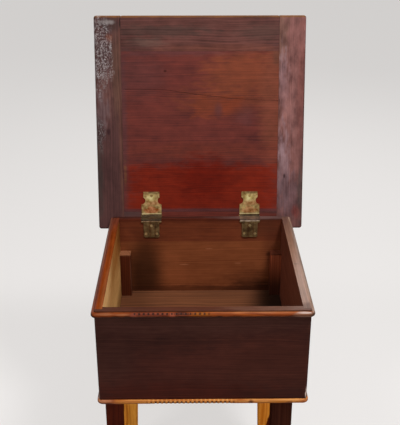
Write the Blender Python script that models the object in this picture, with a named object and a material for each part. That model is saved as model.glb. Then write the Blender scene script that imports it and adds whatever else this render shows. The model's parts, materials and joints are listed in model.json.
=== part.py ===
"""Sewing box on a four-legged stand, its lid hinged open until it leans on the back wall.

Metres, +Z up. +X is the user's right and +Y runs from the front to the back. The feet stand on Z = 0,
and the origin is on the floor below the middle of the open object's outline.
"""
import math

import bmesh
import bpy
from mathutils import Matrix, Vector

# Clearances
JOINT_GAP = 0.0003          # left between two pieces that touch
PIN_CLEARANCE = 0.00015     # radial play of a hinge pin in its knuckles
KNUCKLE_CLEARANCE = 0.00045  # between a knuckle and the leaf or wall that it turns past
STOP_GAP = 0.0004           # left where the open lid leans on the back wall

# Fineness of the meshes
TOLERANCE = 1e-5            # within which two lengths count as equal
MERGE_DISTANCE = 1e-6
SMOOTH_ANGLE = math.radians(35)
ROUND_STEPS = 4             # facets across a plain rounding
FINE_STEPS = 2              # facets across an eased edge

# Box
BOX_WIDTH = 0.432
BOX_DEPTH = 0.444
BOX_HEIGHT = 0.214
WALL = 0.016
CORNER_RABBET = 0.008       # depth of the rabbets that take the ends of the side boards
CORNER_ROUND = 0.004
RIM_ROUND = 0.0015
FLOOR_THICK = 0.012

# Posts in the inner corners, which carry a lift-out tray
POST_WIDTH = 0.026
POST_DEPTH = 0.024
POST_HEIGHT = 0.115
POST_ROUND = 0.0015

# Half-round bead under the rim, on the front and the sides
BEAD_HEIGHT = 0.012
BEAD_REACH = 0.0065
BEAD_DROP = 0.0025
BEAD_STEPS = 10
BEAD_CORNER_STEPS = 3       # facets from a front corner's start to its mitre

# Lid: a flush panel in a frame of two stiles and two rails
LID_OVERHANG = 0.036
LID_THICK = 0.018
LID_EDGE_ROUND = 0.005
LID_CORNER_ROUND = 0.006
STILE_WIDTH = 0.063
FRONT_RAIL_WIDTH = 0.083
REAR_RAIL_WIDTH = 0.043
LID_SHOULDER = 0.0065       # set-back of the tongue and of the tenons from the faces
LID_TENON = 0.020

# Stand
STAND_HEIGHT = 0.482
STAND_TOP_THICK = 0.010
STAND_TOP_REACH = 0.0045
STAND_TOP_CORNER = 0.012
BULLNOSE_SHARE = 0.45       # of the top board's thickness, rounded above and below
LEG_SIZE = 0.043
FOOT_SIZE = 0.0305
LEG_INSET = 0.018
LEG_FRAME_SHIFT = -0.008    # the legs and aprons stand a little to the left under the top board
LEG_ROUND = 0.002
APRON_HEIGHT = 0.060
APRON_THICK = 0.019
APRON_SETBACK = 0.004       # of an apron's face from the outer faces of its legs
APRON_SHOULDER = 0.0055     # set-back of an apron's tenons from its faces
TENON_END = 0.0015          # wood left between two tenons that meet in a leg
TAPER_START = 0.010         # below the aprons

# Hinges
HINGE_INSET = 0.095         # from a side of the box to the middle of its hinge
LEAF_THICK = 0.0016
LEAF_WIDTH = 0.049
PIN_RADIUS = 0.0013
PIN_HEAD_RADIUS = 0.0024
PIN_HEAD_LENGTH = 0.0012
PIN_CROWN_SHARE = 0.6       # flat part of a pin head
KNUCKLE_SIDES = 24
CENTRE_KNUCKLE = 0.020

# Lid leaf, measured forward from the hinge axis
LID_LEAF_BODY = 0.0295
LID_LEAF_SCOOP = 0.0095     # radius of the scoops between its body and its head
LID_LEAF_HEAD_WIDTH = 0.0395
LID_LEAF_LENGTH = 0.061
SCOOP_STEPS = 8
LID_SCREW_NEAR = 0.021
LID_SCREW_FAR = 0.051
LID_SCREW_SPREAD = 0.0125

# Rim leaf, bent over the back wall and measured down from the rim
RIM_LEAF_SHOULDER = 0.009
RIM_LEAF_TAB_WIDTH = 0.0385
RIM_LEAF_DROP = 0.049
RIM_LEAF_BEND = 0.0024
RIM_LEAF_CORNER = 0.003
BEND_STEPS = 5
RIM_SCREW_HIGH = 0.017
RIM_SCREW_LOW = 0.039
RIM_SCREW_SPREAD = 0.0135

# Countersunk hinge screws
SCREW_HEAD_RADIUS = 0.0034
SCREW_HEAD_DEPTH = 0.0018
SCREW_SHANK_RADIUS = 0.0014
SCREW_LENGTH = 0.011
SCREW_POINT = 0.0025
SLOT_WIDTH = 0.0008
SLOT_DEPTH = 0.0007
SCREW_SIDES = 16

# Places that follow from the sizes above, measured from the middle of the box on the floor
FRONT = -BOX_DEPTH / 2
BACK = BOX_DEPTH / 2
SIDE = BOX_WIDTH / 2
BOX_BOTTOM = STAND_HEIGHT + JOINT_GAP
RIM = BOX_BOTTOM + BOX_HEIGHT
FLOOR_TOP = BOX_BOTTOM + FLOOR_THICK
KNUCKLE_RADIUS = PIN_RADIUS + PIN_CLEARANCE + LEAF_THICK
BORE_RADIUS = PIN_RADIUS + PIN_CLEARANCE
AXIS_BEHIND_WALL = KNUCKLE_RADIUS + KNUCKLE_CLEARANCE
AXIS_BELOW_RIM = BORE_RADIUS - JOINT_GAP
AXIS = Vector((0.0, BACK + AXIS_BEHIND_WALL, RIM - AXIS_BELOW_RIM))

# The closed lid, measured from the hinge axis
LID_WIDTH = BOX_WIDTH + 2 * LID_OVERHANG
LID_LENGTH = BOX_DEPTH + 2 * LID_OVERHANG
LID_SIDE = LID_WIDTH / 2
LID_BACK = LID_OVERHANG - AXIS_BEHIND_WALL
LID_FRONT = LID_BACK - LID_LENGTH
LID_UNDERSIDE = KNUCKLE_RADIUS + JOINT_GAP
LID_TOP = LID_UNDERSIDE + LID_THICK
PANEL_SIDE = LID_SIDE - STILE_WIDTH - JOINT_GAP
PANEL_FRONT = LID_FRONT + FRONT_RAIL_WIDTH + JOINT_GAP
PANEL_BACK = LID_BACK - REAR_RAIL_WIDTH - JOINT_GAP
TONGUE = LID_SHOULDER - 2 * JOINT_GAP


def lid_open_angle():
    """Opening at which the rounded rear edge of the lid comes to rest on the back wall."""
    along = LID_BACK - LID_EDGE_ROUND
    above = LID_UNDERSIDE + LID_EDGE_ROUND
    reach = LID_EDGE_ROUND + STOP_GAP - AXIS_BEHIND_WALL
    return math.atan2(above, along) + math.acos(reach / math.hypot(along, above))


def outline_middle():
    """Middle, front to back, of the object with its lid open."""
    angle = lid_open_angle()
    along = LID_FRONT + LID_EDGE_ROUND
    above = LID_TOP - LID_EDGE_ROUND
    lid_reach = along * math.cos(angle) + above * math.sin(angle) + LID_EDGE_ROUND
    foremost = FRONT - max(BEAD_REACH + JOINT_GAP, STAND_TOP_REACH)
    return (AXIS.y + lid_reach + foremost) / 2


def finish(name, colour, roughness, metallic=0.0):
    """Material with one plain colour, given as linear red, green and blue."""
    material = bpy.data.materials.new(name)
    material.use_nodes = True
    shader = material.node_tree.nodes["Principled BSDF"]
    shader.inputs["Base Color"].default_value = (*colour, 1.0)
    shader.inputs["Roughness"].default_value = roughness
    shader.inputs["Metallic"].default_value = metallic
    material.diffuse_color = (*colour, 1.0)
    return material


def make_object(name, body, material, parent, location=(0.0, 0.0, 0.0)):
    """Object made from a bmesh, which is freed."""
    mesh = bpy.data.meshes.new(name)
    bmesh.ops.recalc_face_normals(body, faces=body.faces)
    body.to_mesh(mesh)
    body.free()
    return place_mesh(name, mesh, material, parent, location)


def place_mesh(name, mesh, material, parent, location=(0.0, 0.0, 0.0)):
    """Object that shows a mesh, which it may share with others."""
    mesh.shade_smooth()
    mesh.set_sharp_from_angle(angle=SMOOTH_ANGLE)
    item = bpy.data.objects.new(name, mesh)
    bpy.context.scene.collection.objects.link(item)
    if material and not mesh.materials:
        mesh.materials.append(material)
    item.parent = parent
    item.location = location
    return item


def make_empty(name, parent, location, turn_x=0.0):
    """Empty that carries other pieces."""
    empty = bpy.data.objects.new(name, None)
    bpy.context.scene.collection.objects.link(empty)
    empty.parent = parent
    empty.location = location
    empty.rotation_euler.x = turn_x
    return empty


def make_cutter(name, body, parent, location=(0.0, 0.0, 0.0)):
    """Helper solid for a Boolean, which isn't a piece of the object."""
    cutter = make_object(name, body, None, parent, location)
    cutter.hide_render = True
    cutter.display_type = "WIRE"
    return cutter


def combine(item, helper, operation):
    """Boolean of a piece with a helper solid."""
    modifier = item.modifiers.new(helper.name, "BOOLEAN")
    modifier.operation = operation
    modifier.solver = "EXACT"
    modifier.object = helper


def baked_mesh(item):
    """Mesh of a piece with its modifiers applied; the piece itself is removed."""
    graph = bpy.context.evaluated_depsgraph_get()
    mesh = bpy.data.meshes.new_from_object(item.evaluated_get(graph))
    helpers = [modifier.object for modifier in item.modifiers]
    for spent in [item, *helpers]:
        bpy.data.objects.remove(spent)
    return mesh


def block(low, high):
    """Box between two corners."""
    low = Vector(low)
    high = Vector(high)
    body = bmesh.new()
    place = Matrix.Translation((low + high) / 2) @ Matrix.Diagonal((*(high - low), 1.0))
    bmesh.ops.create_cube(body, size=1.0, matrix=place)
    return body


def prism(outline, shift):
    """Flat outline, pushed along a vector."""
    body = bmesh.new()
    face = body.faces.new([body.verts.new(point) for point in outline])
    pushed = bmesh.ops.extrude_face_region(body, geom=[face])
    moved = [part for part in pushed["geom"] if isinstance(part, bmesh.types.BMVert)]
    bmesh.ops.translate(body, verts=moved, vec=shift)
    return body


def sweep(sections):
    """Solid through a row of sections that have matching points."""
    body = bmesh.new()
    rings = [[body.verts.new(point) for point in section] for section in sections]
    for near, far in zip(rings, rings[1:]):
        for first, second in zip(range(-1, len(near) - 1), range(len(near))):
            body.faces.new((near[first], near[second], far[second], far[first]))
    for end in (rings[0], rings[-1]):
        body.faces.new(end)
    return body


def cylinder_x(radius, low, high, sides):
    """Round bar along X, with a flat facet on top."""
    body = bmesh.new()
    place = (
        Matrix.Translation(((low + high) / 2, 0.0, 0.0))
        @ Matrix.Rotation(math.pi / sides, 4, "X")
        @ Matrix.Rotation(math.pi / 2, 4, "Y")
    )
    bmesh.ops.create_cone(
        body, cap_ends=True, segments=sides, radius1=radius, radius2=radius, depth=high - low, matrix=place
    )
    return body


def turned(profile, sides):
    """Solid of revolution about Z; the profile is (radius, height) pairs between two points on the axis."""
    body = bmesh.new()
    points = [body.verts.new((radius, 0.0, height)) for radius, height in profile]
    edges = [body.edges.new(pair) for pair in zip(points, points[1:])]
    bmesh.ops.spin(
        body, geom=points + edges, axis=(0.0, 0.0, 1.0), cent=(0.0, 0.0, 0.0),
        angle=2 * math.pi, steps=sides, use_merge=True,
    )
    bmesh.ops.remove_doubles(body, verts=body.verts, dist=MERGE_DISTANCE)
    return body


def merge_bodies(bodies):
    """One bmesh that holds several separate bodies."""
    whole = bmesh.new()
    for body in bodies:
        mesh = bpy.data.meshes.new("part")
        body.to_mesh(mesh)
        body.free()
        whole.from_mesh(mesh)
        bpy.data.meshes.remove(mesh)
    return whole


def is_near(value, target):
    """True where two lengths agree to a hundredth of a millimetre."""
    return abs(value - target) < TOLERANCE


def bevel(body, edges, width, steps):
    """Round a set of edges."""
    bmesh.ops.bevel(
        body, geom=edges, offset=width, offset_type="OFFSET", affect="EDGES",
        segments=steps, profile=0.5, clamp_overlap=True, material=-1,
    )


def round_edges(body, test, width, steps):
    """Round each edge whose two ends pass a test on their positions."""
    edges = [edge for edge in body.edges if all(test(vert.co) for vert in edge.verts)]
    bevel(body, edges, width, steps)


def round_upright_edges(body, corners, width, steps):
    """Round the edges along Z that stand on the given (x, y) corners."""
    edges = []
    for edge in body.edges:
        first, second = (vert.co for vert in edge.verts)
        upright = is_near(first.x, second.x) and is_near(first.y, second.y)
        if upright and any(is_near(first.x, x) and is_near(first.y, y) for x, y in corners):
            edges.append(edge)
    bevel(body, edges, width, steps)


def grow_end(body, test, shoulder, length):
    """Set a tenon into the end face that passes a test on its middle."""
    face = next(face for face in body.faces if test(face.calc_center_median()))
    normal = face.normal.copy()
    bmesh.ops.inset_individual(body, faces=[face], thickness=shoulder, use_even_offset=True)
    pushed = bmesh.ops.extrude_discrete_faces(body, faces=[face])
    bmesh.ops.translate(body, verts=pushed["faces"][0].verts, vec=normal * length)


def build_stand_top(parent, wood):
    """Board with a bullnose edge that the box stands on."""
    side = SIDE + STAND_TOP_REACH
    back = BACK + STAND_TOP_REACH
    low = STAND_HEIGHT - STAND_TOP_THICK
    body = block((-side, -back, low), (side, back, STAND_HEIGHT))
    corners = [(x, y) for x in (-side, side) for y in (-back, back)]
    round_upright_edges(body, corners, STAND_TOP_CORNER, ROUND_STEPS)
    bullnose = STAND_TOP_THICK * BULLNOSE_SHARE
    for height in (low, STAND_HEIGHT):
        round_edges(body, lambda point: is_near(point.z, height), bullnose, ROUND_STEPS)
    return make_object("stand_top", body, wood, parent)


def apron_sizes():
    """Height of the apron tops and bottoms, and the length of the tenons."""
    top = STAND_HEIGHT - STAND_TOP_THICK - JOINT_GAP
    tenon_face = APRON_SETBACK + APRON_THICK - APRON_SHOULDER + JOINT_GAP
    return top, top - APRON_HEIGHT, LEG_SIZE - tenon_face - TENON_END


def build_leg(name, side, end, parent, wood, mortises):
    """Square leg, tapered on its two inner faces below the aprons."""
    top, apron_bottom, _ = apron_sizes()
    outer = Vector((side * (SIDE - LEG_INSET), end * (BACK - LEG_INSET), 0.0))
    taper_top = apron_bottom - TAPER_START
    inner = outer - Vector((side * LEG_SIZE, end * LEG_SIZE, 0.0))
    low = Vector((min(outer.x, inner.x), min(outer.y, inner.y), taper_top))
    high = Vector((max(outer.x, inner.x), max(outer.y, inner.y), top))
    body = block(low, high)
    body.faces.ensure_lookup_table()
    bottom = min(body.faces, key=lambda face: face.calc_center_median().z)
    pushed = bmesh.ops.extrude_discrete_faces(body, faces=[bottom])
    for vert in pushed["faces"][0].verts:
        vert.co.z = 0.0
        if is_near(vert.co.x, inner.x):
            vert.co.x = outer.x - side * FOOT_SIZE
        if is_near(vert.co.y, inner.y):
            vert.co.y = outer.y - end * FOOT_SIZE
    long_edges = []
    for edge in body.edges:
        first, second = (vert.co for vert in edge.verts)
        if not is_near(first.z, second.z):
            long_edges.append(edge)
    bevel(body, long_edges, LEG_ROUND, FINE_STEPS)
    leg = make_object(name, body, wood, parent)
    for mortise in mortises:
        combine(leg, mortise, "DIFFERENCE")
    return leg


def tenon_bar(low, high, along, tenon, gap):
    """Bar that fills an apron's tenons and the mortises that take them."""
    shoulder = Vector((APRON_SHOULDER - gap,) * 3)
    shoulder[along] = -tenon - gap
    return block(Vector(low) + shoulder, Vector(high) - shoulder)


def build_stand(parent, dark_wood, pale_wood, edge_wood):
    """Top board, four legs, two side aprons and a back apron; the front is open."""
    build_stand_top(parent, edge_wood)
    frame = make_empty("leg_frame", parent, (LEG_FRAME_SHIFT, 0.0, 0.0))
    top, bottom, tenon = apron_sizes()
    near = LEG_INSET + LEG_SIZE + JOINT_GAP
    face = LEG_INSET + APRON_SETBACK
    inside = face + APRON_THICK
    spans = {
        "left_apron": ((face - SIDE, near - BACK, bottom), (inside - SIDE, BACK - near, top), 1),
        "right_apron": ((SIDE - inside, near - BACK, bottom), (SIDE - face, BACK - near, top), 1),
        "back_apron": ((near - SIDE, BACK - inside, bottom), (SIDE - near, BACK - face, top), 0),
    }
    mortises = {}
    for name, (low, high, along) in spans.items():
        body = block(low, high)
        body.normal_update()
        for end in (low[along], high[along]):
            grow_end(body, lambda point: is_near(point[along], end), APRON_SHOULDER, tenon)
        make_object(name, body, dark_wood, frame)
        bar = tenon_bar(low, high, along, tenon, JOINT_GAP)
        mortises[name] = make_cutter(name + "_mortise", bar, frame)
    for side_name, side in (("left", -1), ("right", 1)):
        side_mortise = mortises[side_name + "_apron"]
        build_leg("front_" + side_name + "_leg", side, -1, frame, dark_wood, [side_mortise])
        rear_mortises = [side_mortise, mortises["back_apron"]]
        build_leg("rear_" + side_name + "_leg", side, 1, frame, pale_wood, rear_mortises)


def build_end_wall(name, end, parent, wood):
    """Front (end = -1) or back board, rabbeted at its ends for the side boards."""
    outer = end * BACK
    rabbet_floor = outer - end * (WALL - CORNER_RABBET)
    inner = outer - end * WALL
    rabbet = SIDE - WALL - JOINT_GAP
    outline = [
        (-SIDE, outer), (SIDE, outer), (SIDE, rabbet_floor), (rabbet, rabbet_floor),
        (rabbet, inner), (-rabbet, inner), (-rabbet, rabbet_floor), (-SIDE, rabbet_floor),
    ]
    body = prism([(x, y, BOX_BOTTOM) for x, y in outline], (0.0, 0.0, BOX_HEIGHT))
    bmesh.ops.recalc_face_normals(body, faces=body.faces)
    round_upright_edges(body, [(-SIDE, outer), (SIDE, outer)], CORNER_ROUND, ROUND_STEPS)

    def on_outer_rim(point):
        at_face = end * (outer - point.y) < CORNER_ROUND + TOLERANCE
        return is_near(point.z, RIM) and (at_face or is_near(abs(point.x), SIDE))

    round_edges(body, on_outer_rim, RIM_ROUND, FINE_STEPS)
    return make_object(name, body, wood, parent)


def build_side_wall(name, side, parent, wood):
    """Side board, its ends let into the rabbets."""
    outer = side * SIDE
    inner = outer - side * WALL
    end = BACK - WALL + CORNER_RABBET - JOINT_GAP
    body = block((min(outer, inner), -end, BOX_BOTTOM), (max(outer, inner), end, RIM))

    def on_outer_rim(point):
        return is_near(point.z, RIM) and is_near(point.x, outer)

    round_edges(body, on_outer_rim, RIM_ROUND, FINE_STEPS)
    return make_object(name, body, wood, parent)


def build_corner_posts(parent, wood):
    """Four posts that stand on the floor in the inner corners."""
    clear_x = SIDE - WALL - JOINT_GAP
    clear_y = BACK - WALL - JOINT_GAP
    base = FLOOR_TOP + 2 * JOINT_GAP
    for end_name, end in (("front", -1), ("back", 1)):
        for side_name, side in (("left", -1), ("right", 1)):
            outer = Vector((side * clear_x, end * clear_y, base))
            inner_x = side * (clear_x - POST_WIDTH)
            inner_y = end * (clear_y - POST_DEPTH)
            inner = Vector((inner_x, inner_y, base + POST_HEIGHT))
            low = [min(pair) for pair in zip(outer, inner)]
            high = [max(pair) for pair in zip(outer, inner)]
            body = block(low, high)
            round_upright_edges(body, [(inner.x, inner.y)], POST_ROUND, FINE_STEPS)
            make_object(f"{end_name}_{side_name}_tray_post", body, wood, parent)


def bead_profile():
    """Half-round section as (reach, height) pairs, from the bottom to the top."""
    middle = RIM - BEAD_DROP - BEAD_HEIGHT / 2
    points = []
    for step in range(BEAD_STEPS + 1):
        angle = math.pi * (step / BEAD_STEPS - 0.5)
        points.append((BEAD_REACH * math.cos(angle), middle + BEAD_HEIGHT / 2 * math.sin(angle)))
    return points


def bead_section(corner, turn, profile):
    """Section of the bead where it runs round a corner of the box, at an angle about the corner's middle."""
    outward = Vector((math.cos(turn), math.sin(turn), 0.0))
    seat = CORNER_ROUND + JOINT_GAP
    return [corner + outward * (seat + reach) + Vector((0.0, 0.0, height)) for reach, height in profile]


def mirrored(sections):
    """Sections on the other side of the box."""
    return [[Vector((-point.x, point.y, point.z)) for point in section] for section in sections]


def build_beads(parent, wood):
    """Bead along the front, carried round the corners to a mitre with a bead along each side."""
    profile = bead_profile()
    corner = Vector((SIDE - CORNER_ROUND, FRONT + CORNER_ROUND, 0.0))
    far_end = Vector((corner.x, BACK - JOINT_GAP, 0.0))
    clear = Vector((-1.0, -1.0, 0.0)).normalized() * JOINT_GAP / 2
    turns = [math.pi / 4 * step / BEAD_CORNER_STEPS for step in range(BEAD_CORNER_STEPS + 1)]
    front = [bead_section(corner, turn - math.pi / 2, profile) for turn in turns]
    front[-1] = [point + clear for point in front[-1]]
    side = [bead_section(corner, turn - math.pi / 4, profile) for turn in turns]
    side[0] = [point - clear for point in side[0]]
    side.append(bead_section(far_end, 0.0, profile))
    make_object("front_rim_bead", sweep(mirrored(reversed(front)) + front), wood, parent)
    make_object("left_rim_bead", sweep(mirrored(side)), wood, parent)
    make_object("right_rim_bead", sweep(side), wood, parent)


def build_box(parent, woods):
    """Four walls, the floor, the tray posts and the rim bead."""
    build_end_wall("front_wall", -1, parent, woods["dark"])
    back_wall = build_end_wall("back_wall", 1, parent, woods["dark"])
    build_side_wall("left_wall", -1, parent, woods["dark"])
    build_side_wall("right_wall", 1, parent, woods["dark"])
    inside = Vector((SIDE - WALL - JOINT_GAP, BACK - WALL - JOINT_GAP, 0.0))
    lift = Vector((0.0, 0.0, BOX_BOTTOM + JOINT_GAP))
    floor = block(lift - inside, lift + inside + Vector((0.0, 0.0, FLOOR_THICK)))
    make_object("box_floor", floor, woods["brown"], parent)
    build_corner_posts(parent, woods["brown"])
    build_beads(parent, woods["orange"])
    return back_wall


def build_lid(parent, woods):
    """Stiles, rails and panel of the lid, modelled closed in the frame of the hinge axis."""
    low = LID_UNDERSIDE
    high = LID_TOP
    tongue_low = low + LID_SHOULDER
    tongue_high = high - LID_SHOULDER

    reach = TONGUE
    slab = block(
        (-PANEL_SIDE - reach, PANEL_FRONT - reach, tongue_low),
        (PANEL_SIDE + reach, PANEL_BACK + reach, tongue_high),
    )
    slab.normal_update()
    for height, far in ((tongue_low, low), (tongue_high, high)):
        face = next(face for face in slab.faces if is_near(face.calc_center_median().z, height))
        bmesh.ops.inset_individual(slab, faces=[face], thickness=reach, use_even_offset=True)
        pushed = bmesh.ops.extrude_discrete_faces(slab, faces=[face])
        bmesh.ops.translate(slab, verts=pushed["faces"][0].verts, vec=(0.0, 0.0, far - height))
    panel = make_object("lid_panel", slab, woods["red"], parent)

    reach = TONGUE + JOINT_GAP
    groove = make_cutter("lid_groove", block(
        (-PANEL_SIDE - reach, PANEL_FRONT - reach, tongue_low - JOINT_GAP),
        (PANEL_SIDE + reach, PANEL_BACK + reach, tongue_high + JOINT_GAP),
    ), parent)

    mortises = []
    rails = (
        ("lid_front_rail", LID_FRONT, LID_FRONT + FRONT_RAIL_WIDTH, LID_FRONT),
        ("lid_rear_rail", LID_BACK - REAR_RAIL_WIDTH, LID_BACK, LID_BACK),
    )
    for name, front, back, outer in rails:
        body = block((-PANEL_SIDE, front, low), (PANEL_SIDE, back, high))
        body.normal_update()
        for end in (-PANEL_SIDE, PANEL_SIDE):
            grow_end(body, lambda point: is_near(point.x, end), LID_SHOULDER, LID_TENON)
        round_edges(body, lambda point: is_near(point.y, outer), LID_EDGE_ROUND, ROUND_STEPS)
        rail = make_object(name, body, woods["dark"], parent)
        combine(rail, groove, "DIFFERENCE")
        shoulder = LID_SHOULDER - JOINT_GAP
        tip = PANEL_SIDE + LID_TENON + JOINT_GAP
        mortises.append(make_cutter(name + "_mortise", block(
            (-tip, front + shoulder, low + shoulder), (tip, back - shoulder, high - shoulder)
        ), parent))

    for side_name, side in (("left", -1), ("right", 1)):
        outer = side * LID_SIDE
        inner = side * (LID_SIDE - STILE_WIDTH)
        body = block((min(outer, inner), LID_FRONT, low), (max(outer, inner), LID_BACK, high))
        corners = [(outer, LID_FRONT), (outer, LID_BACK)]
        round_upright_edges(body, corners, LID_CORNER_ROUND, ROUND_STEPS)
        for height in (low, high):
            rim = [
                edge for edge in body.edges
                if all(is_near(vert.co.z, height) for vert in edge.verts)
                and not all(is_near(vert.co.x, inner) for vert in edge.verts)
            ]
            bevel(body, rim, LID_EDGE_ROUND, ROUND_STEPS)
        stile = make_object(f"lid_{side_name}_stile", body, woods["dark"], parent)
        for cutter in [groove, *mortises]:
            combine(stile, cutter, "DIFFERENCE")
    return panel


def screw_body(grow):
    """Countersunk screw along -Z, its head flush with Z = 0, or grown into the hole that takes it."""
    head = SCREW_HEAD_RADIUS + grow
    shank = SCREW_SHANK_RADIUS + grow
    top = JOINT_GAP if grow else 0.0
    tip = -SCREW_LENGTH - grow
    profile = [(0.0, top), (head, top)]
    if grow:
        profile.append((head, 0.0))
    profile += [(shank, -SCREW_HEAD_DEPTH), (shank, tip + SCREW_POINT), (0.0, tip)]
    return turned(profile, SCREW_SIDES)


def screw_mesh(material):
    """Slotted screw, shared by all the hinge screws."""
    screw = make_object("screw", screw_body(0.0), material, None)
    corner = Vector((SCREW_HEAD_RADIUS, SLOT_WIDTH / 2, SLOT_DEPTH))
    slot = block(-corner, corner)
    combine(screw, make_cutter("slot", slot, None), "DIFFERENCE")
    return baked_mesh(screw)


def lid_leaf_screws():
    """Places of the lid leaf's screws in the frame of its hinge; their heads face down."""
    turn = Matrix.Rotation(math.pi, 4, "X")
    face = KNUCKLE_RADIUS - LEAF_THICK
    near = [(side * LID_SCREW_SPREAD, LID_SCREW_NEAR) for side in (-1, 1)]
    places = [(0.0, LID_SCREW_FAR), *near]
    return [Matrix.Translation((x, -forward, face)) @ turn for x, forward in places]


def rim_leaf_screws():
    """Places of the rim leaf's screws in the frame of its hinge; their heads face the front."""
    turn = Matrix.Rotation(math.pi / 2, 4, "X")
    face = -AXIS_BEHIND_WALL - WALL - JOINT_GAP - LEAF_THICK
    low = [(side * RIM_SCREW_SPREAD, RIM_SCREW_LOW) for side in (-1, 1)]
    places = [(0.0, RIM_SCREW_HIGH), *low]
    return [Matrix.Translation((x, face, AXIS_BELOW_RIM - down)) @ turn for x, down in places]


def screw_holes(places):
    """Holes for a set of screws, as one bmesh."""
    bodies = []
    for place in places:
        hole = screw_body(JOINT_GAP)
        hole.transform(place)
        bodies.append(hole)
    return merge_bodies(bodies)


def pin_bore():
    """Bore through all the knuckles of a hinge."""
    return cylinder_x(BORE_RADIUS, -LEAF_WIDTH, LEAF_WIDTH, KNUCKLE_SIDES)


def lid_leaf_outline():
    """Lid leaf seen from above, with forward measured from the hinge axis."""
    half = LEAF_WIDTH / 2
    head = LID_LEAF_HEAD_WIDTH / 2
    knuckle = CENTRE_KNUCKLE / 2
    clear = KNUCKLE_RADIUS + KNUCKLE_CLEARANCE
    scoop_middle = LID_LEAF_BODY + LID_LEAF_SCOOP
    head_angle = math.acos((head - half) / LID_LEAF_SCOOP)
    start = -math.pi / 2
    sweep = head_angle - 1.5 * math.pi
    side = [(knuckle, 0.0), (knuckle, clear), (half, clear)]
    for step in range(SCOOP_STEPS + 1):
        angle = start + sweep * step / SCOOP_STEPS
        across = half + LID_LEAF_SCOOP * math.cos(angle)
        side.append((across, scoop_middle + LID_LEAF_SCOOP * math.sin(angle)))
    side.append((head, LID_LEAF_LENGTH))
    return side + [(-x, forward) for x, forward in reversed(side)]


def lid_leaf_mesh(material):
    """Flat scooped leaf with the middle knuckle rolled on its edge."""
    low = KNUCKLE_RADIUS - LEAF_THICK
    body = prism([(x, -forward, low) for x, forward in lid_leaf_outline()], (0.0, 0.0, LEAF_THICK))
    leaf = make_object("lid_leaf", body, material, None)
    knuckle = cylinder_x(KNUCKLE_RADIUS, -CENTRE_KNUCKLE / 2, CENTRE_KNUCKLE / 2, KNUCKLE_SIDES)
    combine(leaf, make_cutter("knuckle", knuckle, None), "UNION")
    combine(leaf, make_cutter("bore", pin_bore(), None), "DIFFERENCE")
    combine(leaf, make_cutter("holes", screw_holes(lid_leaf_screws()), None), "DIFFERENCE")
    return baked_mesh(leaf)


def rim_leaf_outline():
    """Section of the rim leaf: flat on the rim from the axis forward, then bent down the inner face."""
    top = AXIS_BELOW_RIM
    inner = -AXIS_BEHIND_WALL - WALL - JOINT_GAP
    outer = inner - LEAF_THICK
    bottom = top - RIM_LEAF_DROP
    points = [(0.0, top - LEAF_THICK), (0.0, top)]
    for step in range(BEND_STEPS + 1):
        angle = math.pi / 2 * (1 + step / BEND_STEPS)
        forward = outer + RIM_LEAF_BEND * (1 + math.cos(angle))
        points.append((forward, top - RIM_LEAF_BEND * (1 - math.sin(angle))))
    return points + [(outer, bottom), (inner, bottom), (inner, top - LEAF_THICK)]


def rim_leaf_mesh(material):
    """Leaf bent over the rim, with the two outer knuckles and a narrower tab below its shoulders."""
    half = LEAF_WIDTH / 2
    outline = [(-half, y, z) for y, z in rim_leaf_outline()]
    leaf = make_object("rim_leaf", prism(outline, (LEAF_WIDTH, 0.0, 0.0)), material, None)

    notch_half = CENTRE_KNUCKLE / 2 + KNUCKLE_CLEARANCE
    clear = KNUCKLE_RADIUS + KNUCKLE_CLEARANCE
    notch = block((-notch_half, -clear, -clear), (notch_half, clear, clear))
    combine(leaf, make_cutter("notch", notch, None), "DIFFERENCE")

    knuckles = merge_bodies([
        cylinder_x(KNUCKLE_RADIUS, -half, -notch_half, KNUCKLE_SIDES),
        cylinder_x(KNUCKLE_RADIUS, notch_half, half, KNUCKLE_SIDES),
    ])
    combine(leaf, make_cutter("knuckles", knuckles, None), "UNION")
    combine(leaf, make_cutter("bore", pin_bore(), None), "DIFFERENCE")

    tab = RIM_LEAF_TAB_WIDTH / 2
    front = -AXIS_BEHIND_WALL - WALL - 2 * LEAF_THICK
    back = -AXIS_BEHIND_WALL - WALL + LEAF_THICK
    shoulder = AXIS_BELOW_RIM - RIM_LEAF_SHOULDER
    bottom = AXIS_BELOW_RIM - RIM_LEAF_DROP
    corner = RIM_LEAF_CORNER
    trims = []
    for side in (-1, 1):
        trim = [
            (side * tab, shoulder), (side * 2 * half, shoulder), (side * 2 * half, bottom - corner),
            (side * (tab - 2 * corner), bottom - corner), (side * tab, bottom + corner),
        ]
        solid = prism([(x, front, z) for x, z in trim], (0.0, back - front, 0.0))
        bmesh.ops.recalc_face_normals(solid, faces=solid.faces)
        trims.append(solid)
    combine(leaf, make_cutter("trims", merge_bodies(trims), None), "DIFFERENCE")
    combine(leaf, make_cutter("holes", screw_holes(rim_leaf_screws()), None), "DIFFERENCE")
    return baked_mesh(leaf)


def pin_body():
    """Hinge pin along X with a domed head at each end."""
    half = LEAF_WIDTH / 2 + JOINT_GAP
    tip = half + PIN_HEAD_LENGTH
    neck = half + PIN_HEAD_LENGTH / 2
    crown = PIN_HEAD_RADIUS * PIN_CROWN_SHARE
    head = [(0.0, tip), (crown, tip), (PIN_HEAD_RADIUS, neck), (PIN_HEAD_RADIUS, half)]
    end = [*head, (PIN_RADIUS, half)]
    profile = end + [(radius, -height) for radius, height in reversed(end)]
    body = turned(profile, KNUCKLE_SIDES)
    body.transform(Matrix.Rotation(math.pi / 2, 4, "Y"))
    return body


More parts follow.
